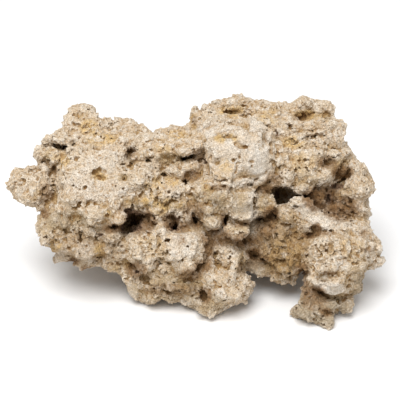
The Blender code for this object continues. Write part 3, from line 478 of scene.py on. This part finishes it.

# Brown zones: brown stain, and painted shade on recessed walls, under overhangs and along shadow lines.
BROWN_STAIN_AND_SHADE = each(
    Zone,
    (106, -31, 5, 4, 0.35), (106, -18.5, 7, 1.5, 0.7), (107, -50.5, 6, 1.5, 0.7), (50, -44.5, 10, 3.5, 0.35),
    (135, -19, 4, 4, 0.4), (138, -32, 4, 2, 0.5), (61, -4, 6, 7), (47, -35, 6, 5), (55, -39, 6, 2.5, 0.8),
    (40, -24.5, 10, 5, 0.9), (23, -9, 3, 6, 0.8), (36, -11.5, 8, 2, 0.7), (108, 10, 5, 6),
    (-112.5, 32, 2.2, 4, 0.8), (88, -63, 3, 8, 0.7), (105, -82, 5, 3.5, 0.8), (98, -16, 3, 5),
    (91, -20.5, 6, 2.5), (11, -30, 3.5, 13, 0.8), (-12, -14, 8, 4, 0.7), (-12, -24, 5, 4, 0.3),
    (1, -8, 5, 7, 0.8), (20, 18, 8, 2.5, 0.7), (-37.5, -9, 6, 8), (-57, 1, 5, 4, 0.4),
    (-66, -15, 8, 3.5, 0.9), (58, -16, 8, 6, 0.8), (50, -26, 5, 8, 0.6), (76, -28, 6, 4, 0.5),
    (84, -47, 5, 4, 0.9), (74, -42, 5, 3, 0.5), (-97, -41, 5, 3, 0.8), (105, 38, 8, 4.5, 0.75),
    (-120, -3, 3, 4, 0.9), (-1, 71, 2.5, 5, 0.5), (0, 0, 8, 7, 0.5), (-119, 13, 5, 8, 0.5),
    (-51.5, 46, 5, 4, 0.5), (4, 43, 6, 7, 0.4), (-3, 27.5, 7, 4), (117, 1, 14, 9), (8, -68, 5, 6, 0.9),
    (-18, -64, 22, 5, 0.5), (-4, -52, 9, 5, 0.7), (-42, -54, 7, 4, 0.3), (96, -66, 8, 5, 0.9),
    (18, -22, 12, 7, 0.8), (6, -45, 7, 5, 0.9), (-47, -48, 8, 6, 0.8), (86, 75, 7, 3, 0.5),
    (-92, -33, 32, 15, 0.2), (56, 16.5, 8, 3.5, 0.8), (62, 24, 7, 6, 0.5), (96, -73, 10, 7, 0.5),
    (70, -32, 19, 24, 0.35), (118, 30, 8, 6), (98, 9, 11, 9), (-19, -10, 6, 6), (86, -48, 5, 6, 0.7),
    (-88, -47, 4, 3, 0.7), (36, -46, 2, 4, 0.6), (-46, -10, 10, 9, 0.8), (112, 14, 4, 6, 0.5),
)


# ---- The face and the row frame ----


def on_face(points):
    """Points in the row frame, in metres, as places on the face, in millimetres."""
    x, y, z = (np.asarray(points) / MM - FACE_ORIGIN_MM).T
    up = y * math.sin(LEAN) + z * math.cos(LEAN)
    out = z * math.sin(LEAN) - y * math.cos(LEAN)
    return np.stack([x, up, out], axis=1)


def at_rest(points):
    """Places on the face, in millimetres, as points in the row frame, in metres."""
    across, up, out = np.asarray(points).T
    y = up * math.sin(LEAN) - out * math.cos(LEAN)
    z = up * math.cos(LEAN) + out * math.sin(LEAN)
    return (np.stack([across, y, z], axis=1) + FACE_ORIGIN_MM) * MM


def behind_view(across, up, out):
    """Where a place seen from the camera's distance lies across and up, at so far out of the face."""
    nearer = 1.0 - out * MM / CAMERA_DISTANCE_M
    aim_across, aim_up, _ = CAMERA_AIM_MM
    return aim_across + (across - aim_across) * nearer, aim_up + (up - aim_up) * nearer


def in_view(places):
    """Places on the face as they are seen from the camera's distance."""
    nearer = 1.0 - places[:, 2:] * MM / CAMERA_DISTANCE_M
    aim = np.array(CAMERA_AIM_MM[:2])
    return aim + (places[:, :2] - aim) / nearer


# ---- The distance field ----

LOW = np.floor(np.array(LOW_CORNER_MM) / VOXEL_MM).astype(int)
SHAPE = tuple(np.ceil(np.array(HIGH_CORNER_MM) / VOXEL_MM).astype(int) - LOW)
AXES = [((LOW[i] + np.arange(SHAPE[i])) * VOXEL_MM).astype(np.float32) for i in range(3)]


def read(items, name, kind=np.float32):
    """One property of all of a mesh's points or faces, three numbers to a row."""
    values = np.empty(len(items) * 3, kind)
    items.foreach_get(name, values)
    return values.reshape(-1, 3)


def field_of(node):
    """Distance from the CAD solid's surface at every grid point, below zero inside it."""
    mesh = node.data
    mesh.calc_loop_triangles()
    world = np.array(node.matrix_world)
    points = read(mesh.vertices, "co") @ world[:3, :3].T + world[:3, 3]
    level_set = openvdb.FloatGrid.createLevelSetFromPolygons(
        on_face(points).astype(np.float32),
        triangles=read(mesh.loop_triangles, "vertices", np.int32).astype(np.uint32),
        transform=openvdb.createLinearTransform(voxelSize=VOXEL_MM),
        halfWidth=REACH_MM / VOXEL_MM,
    )
    field = np.empty(SHAPE, np.float32)
    level_set.copyToArray(field, ijk=tuple(int(i) for i in LOW))
    return field


def softened(field, passes):
    """The field blurred a little, by running three-point averages."""
    soft = field.copy()
    for _ in range(passes):
        for axis in range(soft.ndim):
            line = np.moveaxis(soft, axis, 0)
            line[1:-1] = 0.25 * line[:-2] + 0.5 * line[1:-1] + 0.25 * line[2:]
    return soft


def blending_weights(positions, size):
    """For each position, how much each point of a coarse lattice counts, as a cubic B-spline."""
    steps = (positions - positions[0]) / size + 1.0
    lattice = np.arange(int(steps[-1]) + 3)
    apart = np.abs(steps[:, None] - lattice[None, :])
    near = 2 / 3 - apart**2 + apart**3 / 2
    far = np.clip(2 - apart, 0, None) ** 3 / 6
    return np.where(apart < 1, near, far).astype(np.float32)


def smooth_noise(size, rng):
    """Values of about -1 to 1 over the whole grid that change over the given size."""
    across, up, out = (blending_weights(axis, size) for axis in AXES)
    lattice = rng.uniform(-3, 3, (across.shape[1], up.shape[1], out.shape[1])).astype(np.float32)
    return (up @ np.tensordot(across, lattice, (1, 0))) @ out.T


def softer_minimum(a, b, blend):
    """The smaller of a and b, rounded where they cross."""
    share = np.clip(0.5 + 0.5 * (b - a) / blend, 0, 1)
    return b + (a - b) * share - blend * share * (1 - share)


# ---- Listed shapes ----


def foremost(field, across, up):
    """How far out the foremost surface lies at a place on the face, or None beside the rock."""
    column = field[np.searchsorted(AXES[0], across), np.searchsorted(AXES[1], up)]
    inside = np.flatnonzero(column < 0)
    if len(inside) == 0:
        return None
    last = inside[-1]
    past = column[last] / (column[last] - column[last + 1])
    return AXES[2][last] + past * VOXEL_MM


def seen_spot(field, spot):
    """The spot moved to where it is seen, and how far out it lies there, or None beside the rock."""
    if spot.out is not None:
        across, up = behind_view(spot.across, spot.up, spot.out)
        return spot._replace(across=across, up=up), spot.out
    out = FIRST_OUT_MM
    for _ in range(SEARCHES):
        across, up = behind_view(spot.across, spot.up, out)
        out = foremost(field, across, up)
        if out is None:
            return None
    return spot._replace(across=across, up=up), out


def box_round(oval, margin, out=0.0, half_out=math.inf):
    """The part of the grid within the margin of the oval, by default from front to back."""
    wide = max(oval.half_across, oval.half_up) + margin
    halves = (wide, wide, half_out + margin)
    box = []
    for axis, centre, half in zip(AXES, (oval.across, oval.up, out), halves):
        box.append(slice(*np.searchsorted(axis, (centre - half, centre + half))))
    return tuple(box)


def offsets(box, centre):
    """How far the grid's points in a box lie from a place, along each axis."""
    points = np.ix_(*(axis[part] for axis, part in zip(AXES, box)))
    return [along - middle for along, middle in zip(points, centre)]


def turned(oval, across, up):
    """How far places lie along the oval and beside it, as shares of its half sizes."""
    turn = math.radians(oval.turn)
    along = (across * math.cos(turn) + up * math.sin(turn)) / oval.half_across
    beside = (up * math.cos(turn) - across * math.sin(turn)) / oval.half_up
    return along, beside


def distance_to(spot, out, box):
    """Distance from the spot's oval surface over a box of the grid, close to exact near it."""
    across, up, deep = offsets(box, (spot.across, spot.up, out))
    along, beside = turned(spot, across, up)
    deep = deep / spot.half_out
    size = np.sqrt(along**2 + beside**2 + deep**2) + TINY
    slopes = (along / spot.half_across, beside / spot.half_up, deep / spot.half_out)
    slope = np.sqrt(slopes[0] ** 2 + slopes[1] ** 2 + slopes[2] ** 2)
    return (size - 1) * size / np.maximum(slope, TINY)


def make_change(field, box, distance, change, rags):
    """Fuses a shape onto the rock, or cuts it out, over a box of the grid."""
    ragged = distance + change.rags * rags[box]
    field[box] = change.sign * softer_minimum(change.sign * field[box], ragged, change.rounding)


def steps_along(line):
    """Round spots set close together along the line's path."""
    spots = []
    for (a0, u0), (a1, u1) in zip(line.path, line.path[1:]):
        count = max(2, int(math.hypot(a1 - a0, u1 - u0) / (LINE_STEP * line.half_wide)))
        for i in range(count):
            t = i / (count - 1)
            place = (a0 + (a1 - a0) * t, u0 + (u1 - u0) * t)
            spots.append(Spot(*place, line.half_wide, line.half_wide, line.half_out))
    return spots


def work(field, shapes, change, rags):
    """Works shapes in, each on the surface as it was before it; tells where their spots went."""
    placed = []
    for shape in shapes:
        spots = steps_along(shape) if isinstance(shape, Line) else [shape]
        found = [seen_spot(field, spot) for spot in spots]
        for spot, out in filter(None, found):
            box = box_round(spot, change.margin, out, spot.half_out)
            make_change(field, box, distance_to(spot, out, box), change, rags)
            placed.append((spot, out))
    return placed


def bite(field, bites, rags):
    """Cuts the bites right through the rock, along the line of sight."""
    for oval in bites:
        box = box_round(oval, BITTEN.margin)
        across, up, _ = offsets(box, (*behind_view(oval.across, oval.up, AXES[2]), 0))
        along, beside = turned(oval, across, up)
        size = np.sqrt(along**2 + beside**2) + TINY
        slope = np.sqrt((along / oval.half_across) ** 2 + (beside / oval.half_up) ** 2) + TINY
        make_change(field, box, (size - 1) * size / slope, BITTEN, rags)


def trim(field, facets, rags):
    """Trims the surface back to each facet's plane, which touches it at the facet's place."""
    for facet in facets:
        spot, out = seen_spot(field, Spot(facet.across, facet.up, facet.reach, facet.reach, facet.reach))
        box = box_round(spot, TRIMMED.margin, out, facet.reach)
        tilts = (math.tan(math.radians(tilt)) for tilt in (facet.tilt_across, facet.tilt_up))
        normal = np.array((*tilts, 1.0))
        normal /= np.linalg.norm(normal)
        across, up, ahead = offsets(box, (spot.across, spot.up, out))
        above = across * normal[0] + up * normal[1] + ahead * normal[2]
        make_change(field, box, np.maximum(-above, distance_to(spot, out, box)), TRIMMED, rags)


def zone_mask(zones, across=AXES[0][:, None], up=AXES[1][None, :]):
    """How much the zones count, from 0 to 1, at places on the face: by default over the whole grid."""
    mask = 0.0
    for zone in zones:
        away = ((across - zone.across) / zone.half_across) ** 2 + ((up - zone.up) / zone.half_up) ** 2
        mask = np.maximum(mask, zone.strength * np.clip(ZONE_REACH - away, 0, 1) ** ZONE_FADE)
    return mask


# ---- Level places ----


def front_heights(field):
    """How far out the foremost surface lies over the whole face, and where there is rock at all."""
    inside = field < 0
    last = np.minimum(SHAPE[2] - 1 - np.argmax(inside[:, :, ::-1], axis=2), SHAPE[2] - 2)
    at = np.take_along_axis(field, last[:, :, None], 2)[:, :, 0]
    past = np.take_along_axis(field, last[:, :, None] + 1, 2)[:, :, 0]
    share = at / np.where(past == at, 1, at - past)
    return AXES[2][last] + share * VOXEL_MM, inside.any(axis=2)


def shifted(field, shift):
    """The field moved outwards, at each place on the face, by so many millimetres."""
    at = np.arange(SHAPE[2], dtype=np.float32)[None, None, :] - (shift / VOXEL_MM)[:, :, None]
    cell = np.clip(np.floor(at).astype(np.int32), 0, SHAPE[2] - 2)
    part = np.clip(at - cell, 0, 1)
    return np.take_along_axis(field, cell, 2) * (1 - part) + np.take_along_axis(field, cell + 1, 2) * part


def levelled(field, zones, size):
    """The field with the front surface evened out, over the given size, inside the zones."""
    heights, there = front_heights(field)
    passes = int(2 * (size / VOXEL_MM) ** 2)
    known = np.maximum(softened(there.astype(np.float32), passes), TINY)
    even = softened(np.where(there, heights, 0).astype(np.float32), passes) / known
    shift = np.clip(even - heights, -LEVEL_MOST_MM, LEVEL_MOST_MM) * zone_mask(zones) * there
    return shifted(field, softened(shift.astype(np.float32), LEVEL_PASSES))


# ---- Seeded relief ----


def likely_cells(field, rng, count, odds):
    """Cells on the surface, chosen at random and kept by the odds at each."""
    cells = np.argwhere(np.abs(field) < 0.5 * VOXEL_MM)
    chosen = cells[rng.integers(0, len(cells), count)]
    return chosen[rng.random(count) < odds[tuple(chosen.T)]]


def ball(radius, flat):
    """Distance from a ball's surface on a small block of the grid; flat is how squashed it is."""
    reach = int(radius / VOXEL_MM) + BALL_MARGIN
    steps = np.arange(-reach, reach + 1) * VOXEL_MM
    x, y, z = np.meshgrid(steps, steps, steps, indexing="ij")
    return (np.sqrt(x * x * flat[0] + y * y * flat[1] + z * z * flat[2]) - radius).astype(np.float32)


def press(field, block, cell, sign):
    """Fuses a ball's block onto the field at a cell, or carves it out where sign is below zero."""
    reach = block.shape[0] // 2
    if all(reach <= at < size - reach for at, size in zip(cell, SHAPE)):
        part = field[tuple(slice(at - reach, at + reach + 1) for at in cell)]
        if sign > 0:
            np.minimum(part, block, out=part)
        else:
            np.maximum(part, -block, out=part)


def scatter(field, rng, balls, sign, odds):
    """Fuses small balls onto the surface, or carves them from it where sign is below zero."""
    count, (smallest, largest), shaved = balls
    chosen = likely_cells(field, rng, count, odds)
    bank = []
    for _ in range(BALL_KINDS):
        radius = smallest + (largest - smallest) * rng.random() ** 2
        bank.append(ball(radius, rng.uniform(*FLATNESS, 3)) + shaved)
    picks = rng.integers(0, len(bank), len(chosen))
    for cell, pick in zip(chosen, picks):
        press(field, bank[pick], cell, sign)


def clusters(field, rng, pits, odds):
    """Carves small ragged pits, each a short random walk of little balls."""
    count, radii, stride = pits
    starts = likely_cells(field, rng, count, odds)
    bank = [ball(rng.uniform(*radii), rng.uniform(*FLATNESS, 3)) for _ in range(PIT_KINDS)]
    for start in starts:
        place = start.astype(float)
        for _ in range(rng.integers(*PIT_BALLS)):
            place += rng.normal(0, (stride, stride, PIT_DEEP * stride))
            press(field, bank[rng.integers(0, len(bank))], place.astype(int), -1)


def rock_field():
    """The finished rock as a distance field, and where its holes are."""
    rng = np.random.default_rng(SEED)
    field = softened(field_of(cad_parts[NODE]), SOLID_PASSES)
    field = levelled(field, LEVEL, LEVEL_SIZE_MM)
    rags = sum(depth * smooth_noise(size, rng) for size, depth in RAGS_MM)
    bite(field, BITES, rags)
    work(field, FILLS, RAISED, rags)
    trim(field, FACETS, rags)
    work(field, KNOBS, RAISED, rags)
    work(field, RIDGES, RAISED, rags)

    smooth = np.maximum(zone_mask(SMOOTH), LEVEL_SMOOTHED * zone_mask(LEVEL))
    front = np.clip((AXES[2] - BACK_MM) / BACK_FADE_MM, 0, 1)
    rough = (1.0 - SMOOTHED * smooth[:, :, None] * front).astype(np.float32)
    craggy = zone_mask(CRAGGY)[:, :, None] * rough * (BACK_CRAGS + (1 - BACK_CRAGS) * front)
    craggy = craggy.astype(np.float32)
    swell = np.zeros(SHAPE, np.float32)
    for size, height in SWELLS_MM:
        swell += height * (np.abs(smooth_noise(size, rng)) - SWELL_MIDDLE)
    field -= swell * (rough + CRAGGY_SWELLS * craggy)

    work(field, GROOVES, SUNK, rags)
    holes = work(field, HOLES, SUNK, rags)
    scatter(field, rng, NUBS, 1, rough)
    clusters(field, rng, CLEFTS, 0.9 * craggy + 0.08 * rough**3)  # nearly all in craggy places
    clusters(field, rng, PITS, rough**4 + 0.02)  # hardly any in smooth places
    scatter(field, rng, GRAINS, 1, rough)
    scatter(field, rng, PORES, -1, rough)
    grain = softened(rng.normal(0, 1, SHAPE).astype(np.float32), 1)
    field -= GRAIN_MM * grain * rough
    up, out = AXES[1][None, :, None], AXES[2][None, None, :]
    above_floor = up * math.cos(LEAN) + out * math.sin(LEAN) + FACE_ORIGIN_MM[2]
    np.maximum(field, -above_floor.astype(np.float32), out=field)
    return field, holes


# ---- The mesh ----


def sampled(field, places, spacing):
    """The field's value at places on the face, where the field keeps one grid point in so many."""
    at = (places / VOXEL_MM - LOW) / spacing
    cell = np.clip(np.floor(at).astype(int), 0, np.array(field.shape) - 2)
    part = np.clip(at - cell, 0, 1)
    value = np.zeros(len(places), np.float32)
    for corner in np.ndindex(2, 2, 2):
        weight = np.prod([part[:, i] if corner[i] else 1 - part[:, i] for i in range(3)], axis=0)
        value += weight * field[tuple(cell[:, i] + corner[i] for i in range(3))]
    return value


def largest_island(points, faces):
    """The biggest connected part of a surface, without crumbs and sealed bubbles."""
    label = np.arange(len(points))
    edges = np.concatenate([faces[:, [i, (i + 1) % faces.shape[1]]] for i in range(faces.shape[1])])
    while True:
        lowest = label.copy()
        np.minimum.at(lowest, edges[:, 0], label[edges[:, 1]])
        np.minimum.at(lowest, edges[:, 1], label[edges[:, 0]])
        lowest = lowest[lowest]
        if np.array_equal(lowest, label):
            break
        label = lowest
    names, counts = np.unique(label, return_counts=True)
    kept = label == names[np.argmax(counts)]
    renumber = np.cumsum(kept) - 1
    return points[kept], renumber[faces[kept[faces[:, 0]]]]


def surface_of(field):
    """The places and four-sided faces of the surface where the field is zero."""
    grid = openvdb.FloatGrid(REACH_MM)
    grid.copyFromArray(np.clip(field, -REACH_MM, REACH_MM).astype(np.float32))
    points, faces = grid.convertToQuads(0.0)
    return (points + LOW) * VOXEL_MM, faces.astype(np.int64)


def thin_out(rock, triangles):
    """Thins the mesh out, most where it is hidden: underneath and behind."""
    mesh = rock.data
    facing = read(mesh.vertex_normals, "vector") @ np.array(OUT_OF_FACE)
    group = rock.vertex_groups.new(name="hidden")
    share = FRONT_THINNING + (1 - FRONT_THINNING) * np.clip(0.5 - facing, 0, 1)
    for level in range(THINNING_LEVELS + 1):
        chosen = np.flatnonzero(np.round(share * THINNING_LEVELS) == level)
        group.add(chosen.tolist(), level / THINNING_LEVELS, "REPLACE")
    decimate = rock.modifiers.new("Thin out", "DECIMATE")
    decimate.ratio = triangles / (len(mesh.polygons) * 2)
    decimate.use_collapse_triangulate = True
    decimate.vertex_group = group.name
    decimate.vertex_group_factor = 1.0
    evaluated = rock.evaluated_get(bpy.context.evaluated_depsgraph_get())
    made = bpy.data.meshes.new_from_object(evaluated)
    rock.modifiers.clear()
    rock.vertex_groups.clear()
    rock.data = made
    bpy.data.meshes.remove(mesh)


def move_points(mesh, points):
    mesh.vertices.foreach_set("co", points.astype(np.float32).ravel())
    mesh.update()


def roughen(mesh):
    """Moves every point in or out a little, so that the stone is granular."""
    rng = np.random.default_rng(SEED + 1)
    points = read(mesh.vertices, "co")
    across, up, out = on_face(points).T
    smooth = zone_mask(SMOOTH, across, up) * (out > BACK_MM)
    amount = rng.normal(0, 1, len(points)) * (ROUGHEN_MM * MM * (1.0 - ROUGHEN_LESS * smooth))
    move_points(mesh, points + read(mesh.vertex_normals, "vector") * amount[:, None])


def keep_in_box(mesh):
    """Trims what stands past the solid's own box by a fraction of a millimetre."""
    low, high = (np.array(corner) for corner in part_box(NODE))
    points = read(mesh.vertices, "co")
    np.clip(points, low, high, out=points)
    move_points(mesh, points)
    return points


def inside_caves(places, holes):
    """How far inside a cave each place lies, from 0 at its mouth to 1."""
    across, up, out = places.T
    inside = np.zeros(len(places))
    for spot, mouth in holes:
        if spot.half_out < CAVE_MM:
            continue
        away = np.hypot((across - spot.across) / spot.half_across, (up - spot.up) / spot.half_up)
        dark = np.clip((mouth - out) / CAVE_DARK_MM, 0, 1) * (mouth - out < CAVE_END * spot.half_out)
        inside = np.maximum(inside, dark * np.clip((CAVE_RIM - away) / CAVE_RIM_FADE, 0, 1))
    return inside


def add_attribute(mesh, name, values):
    attribute = mesh.attributes.new(name, "FLOAT", "POINT")
    attribute.data.foreach_set("value", np.ascontiguousarray(values, np.float32))


def add_object(name, data):
    made = bpy.data.objects.new(name, data)
    bpy.context.scene.collection.objects.link(made)
    return made


def make_rock():
    field, holes = rock_field()
    points, faces = largest_island(*surface_of(field))
    mesh = bpy.data.meshes.new("rock_surface")
    mesh.from_pydata(at_rest(points).tolist(), [], faces.tolist())
    rock = add_object("rock_surface", mesh)
    thin_out(rock, TRIANGLES)
    mesh = rock.data
    roughen(mesh)
    places = on_face(keep_in_box(mesh))

    # How deep each point lies in hollows of three sizes, from blurrier and blurrier fields.
    clipped = np.clip(field, -REACH_MM, REACH_MM)
    for name, spacing, passes in (("fine_hollow", 1, 3), ("hollow", 2, 6), ("deep_hollow", 4, 6)):
        soft = softened(clipped[::spacing, ::spacing, ::spacing], passes)
        add_attribute(mesh, name, -sampled(soft, places, spacing))
    # The cave attribute drives the painted dark shade inside caves.
    add_attribute(mesh, "cave", inside_caves(places, holes))
    across, up = in_view(places).T
    # Colour zones; the tan, grey and brown ones carry painted shade as well as stain.
    for name, zones in (("pale", PALE), ("ochre", OCHRE), ("tan", TAN_STAIN_AND_SHADE), ("grey_tone_and_shade", GREY_TONE_AND_SHADE), ("brown_stain_and_shade", BROWN_STAIN_AND_SHADE)):
        add_attribute(mesh, name, zone_mask(zones, across, up))
    mesh.materials.append(weathered_stone())
    mesh.shade_flat()
    return rock


# ---- The stone ----


class Nodes:
    """Short ways to add shader nodes and join them."""

    def __init__(self, material):
        self.tree = material.node_tree

    def add(self, kind, inputs, **settings):
        node = self.tree.nodes.new(kind)
        for name, value in settings.items():
            setattr(node, name, value)
        for name, value in inputs.items():
            if isinstance(value, bpy.types.NodeSocket):
                self.tree.links.new(value, node.inputs[name])
            else:
                node.inputs[name].default_value = value
        return node

    def attribute(self, name):
        return self.add("ShaderNodeAttribute", {}, attribute_name=name).outputs["Fac"]

    def math(self, operation, a, b):
        return self.add("ShaderNodeMath", {0: a, 1: b}, operation=operation).outputs[0]

    def ramp(self, value, low, high, to_low=0.0, to_high=1.0):
        inputs = {"Value": value, "From Min": low, "From Max": high, "To Min": to_low, "To Max": to_high}
        return self.add("ShaderNodeMapRange", inputs, clamp=True).outputs["Result"]

    def noise(self, place, scale, detail, roughness):
        inputs = {"Vector": place, "Scale": scale, "Detail": detail, "Roughness": roughness}
        return self.add("ShaderNodeTexNoise", inputs).outputs["Fac"]

    def mix(self, share, a, b, blend="MIX"):
        inputs = {0: share, 6: a, 7: b}
        return self.add("ShaderNodeMix", inputs, data_type="RGBA", blend_type=blend).outputs[2]

    def patchy(self, name, noise, low, high, least):
        """A listed zone that the noise thins out, down to the least."""
        return self.math("MULTIPLY", self.attribute(name), self.ramp(noise, low, high, least, 1.0))


def new_material(name):
    material = bpy.data.materials.new(name)
    material.use_nodes = True
    return material, material.node_tree.nodes["Principled BSDF"]


def weathered_stone():
    material, shader = new_material("weathered_reef_limestone")
    nodes = Nodes(material)
    place = nodes.add("ShaderNodeTexCoord", {}).outputs["Object"]
    fine = nodes.attribute("fine_hollow")
    hollow = nodes.attribute("hollow")
    deep = nodes.attribute("deep_hollow")

    cream = (0.54, 0.43, 0.305, 1)
    white = (0.66, 0.585, 0.485, 1)
    chalk = (0.66, 0.605, 0.53, 1)
    sand = (0.47, 0.345, 0.215, 1)
    gold = (0.58, 0.39, 0.155, 1)
    drab_stain_and_shade = (0.34, 0.228, 0.098, 1)
    ash_tone_and_shade = (0.33, 0.265, 0.18, 1)
    # tan and brown are brown stain and painted shade, laid on in hollows
    tan = (0.41, 0.265, 0.105, 1)
    brown_stain_and_shade = (0.29, 0.162, 0.062, 1)
    umber_stain_and_shade = (0.16, 0.082, 0.032, 1)
    painted_cave_shade = (0.3, 0.19, 0.12, 1)

    patches = nodes.noise(place, scale=45.0, detail=4.0, roughness=0.6)
    blotches = nodes.noise(place, scale=150.0, detail=5.0, roughness=0.65)
    # The specks mark pores finer than the mesh with painted shade.
    specks = nodes.noise(place, scale=520.0, detail=3.0, roughness=0.7)
    grains = nodes.noise(place, scale=1100.0, detail=2.0, roughness=0.6)

    colour = nodes.mix(nodes.ramp(patches, 0.40, 0.66), cream, sand)
    colour = nodes.mix(nodes.ramp(blotches, 0.50, 0.66), colour, white)
    # Brown zones, thinned by the blotches: brown stain and painted shade.
    brown_zone_stain_and_shade = nodes.patchy("brown_stain_and_shade", blotches, 0.66, 0.42, 0.5)
    coats = (
        # The stone's little ridges, and its pale, dull, grey and ochre zones; the dull and grey zones are
        # partly stain and partly painted shade.
        (nodes.ramp(fine, -0.05, -0.45), 0.6, white),
        (nodes.patchy("pale", blotches, 0.30, 0.55, 0.5), 0.8, chalk),
        (nodes.patchy("tan", blotches, 0.66, 0.42, 0.35), 0.85, drab_stain_and_shade),
        (nodes.patchy("grey_tone_and_shade", blotches, 0.66, 0.42, 0.5), 0.85, ash_tone_and_shade),
        (nodes.patchy("ochre", blotches, 0.60, 0.40, 0.0), 0.8, gold),
        # Hollows, darker the deeper they are, brown zones, caves, and pores finer than the mesh: brown stain
        # with painted shade in the hollows and brown zones, and painted dark shade in the caves and pores.
        (nodes.math("MAXIMUM", nodes.ramp(hollow, 0.0, 1.3), nodes.ramp(deep, 0.3, 3.0)), 0.9, tan),
        (nodes.ramp(fine, 0.06, 0.6), 0.85, brown_stain_and_shade),
        (nodes.ramp(hollow, 0.9, 2.6), 0.8, brown_stain_and_shade),
        (brown_zone_stain_and_shade, 0.85, brown_stain_and_shade),
        (brown_zone_stain_and_shade, 0.75, umber_stain_and_shade),
        (nodes.math("MAXIMUM", nodes.ramp(deep, 3.2, 6.5), nodes.attribute("cave")), 0.9, painted_cave_shade),
        (nodes.ramp(specks, 0.40, 0.30), 0.6, umber_stain_and_shade),
    )
    for share, most, coat in coats:
        colour = nodes.mix(nodes.math("MULTIPLY", share, most), colour, coat)
    speckle = nodes.ramp(grains, 0.3, 0.7, 0.59, 1.37)
    bright = nodes.add("ShaderNodeCombineColor", {"Red": speckle, "Green": speckle, "Blue": speckle})
    colour = nodes.mix(1.0, colour, bright.outputs[0], "MULTIPLY")
    nodes.tree.links.new(colour, shader.inputs["Base Color"])
    shader.inputs["Roughness"].default_value = 0.94
    shader.inputs["Specular IOR Level"].default_value = 0.25

    coarse_bump = nodes.noise(place, scale=420.0, detail=5.0, roughness=0.65)
    fine_bump = nodes.noise(place, scale=1300.0, detail=3.0, roughness=0.6)
    height = nodes.math("ADD", coarse_bump, nodes.math("MULTIPLY", fine_bump, 0.35))
    bump = nodes.add("ShaderNodeBump", {"Height": height, "Distance": 0.0012, "Strength": 0.6})
    nodes.tree.links.new(bump.outputs[0], shader.inputs["Normal"])
    return material


# ---- The studio ----


def make_floor():
    mesh = bpy.data.meshes.new("studio_floor")
    half = FLOOR_HALF_M
    corners = [(-half, -half, 0), (half, -half, 0), (half, half, 0), (-half, half, 0)]
    mesh.from_pydata(corners, [], [(0, 1, 2, 3)])
    floor = add_object("studio_floor", mesh)
    material, shader = new_material("pale_floor")
    shader.inputs["Base Color"].default_value = (0.9, 0.9, 0.9, 1.0)
    shader.inputs["Roughness"].default_value = 0.9
    mesh.materials.append(material)


def make_lights():
    world = bpy.data.worlds.new("studio")
    world.use_nodes = True
    background = world.node_tree.nodes["Background"]
    background.inputs["Color"].default_value = (1.0, 1.0, 1.0, 1.0)
    background.inputs["Strength"].default_value = WORLD_STRENGTH
    bpy.context.scene.world = world
    data = bpy.data.lights.new("key", "AREA")
    data.shape = "DISK"
    data.size = KEY_SIZE_M
    data.energy = KEY_WATTS
    key = add_object("key", data)
    key.location = KEY_PLACE_M
    key.rotation_euler = (KEY_AIM_M - KEY_PLACE_M).to_track_quat("-Z", "Y").to_euler()


def make_camera():
    data = bpy.data.cameras.new("camera")
    data.lens = CAMERA_LENS_MM
    camera = add_object("camera", data)
    toward = Vector(OUT_OF_FACE)
    camera.location = Vector(at_rest([CAMERA_AIM_MM])[0]) + toward * CAMERA_DISTANCE_M
    camera.rotation_euler = (-toward).to_track_quat("-Z", "Y").to_euler()
    bpy.context.scene.camera = camera


rock = make_rock()
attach(rock, "root")
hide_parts(NODE)
make_floor()
make_lights()
make_camera()
bpy.context.scene.view_settings.view_transform = "Standard"
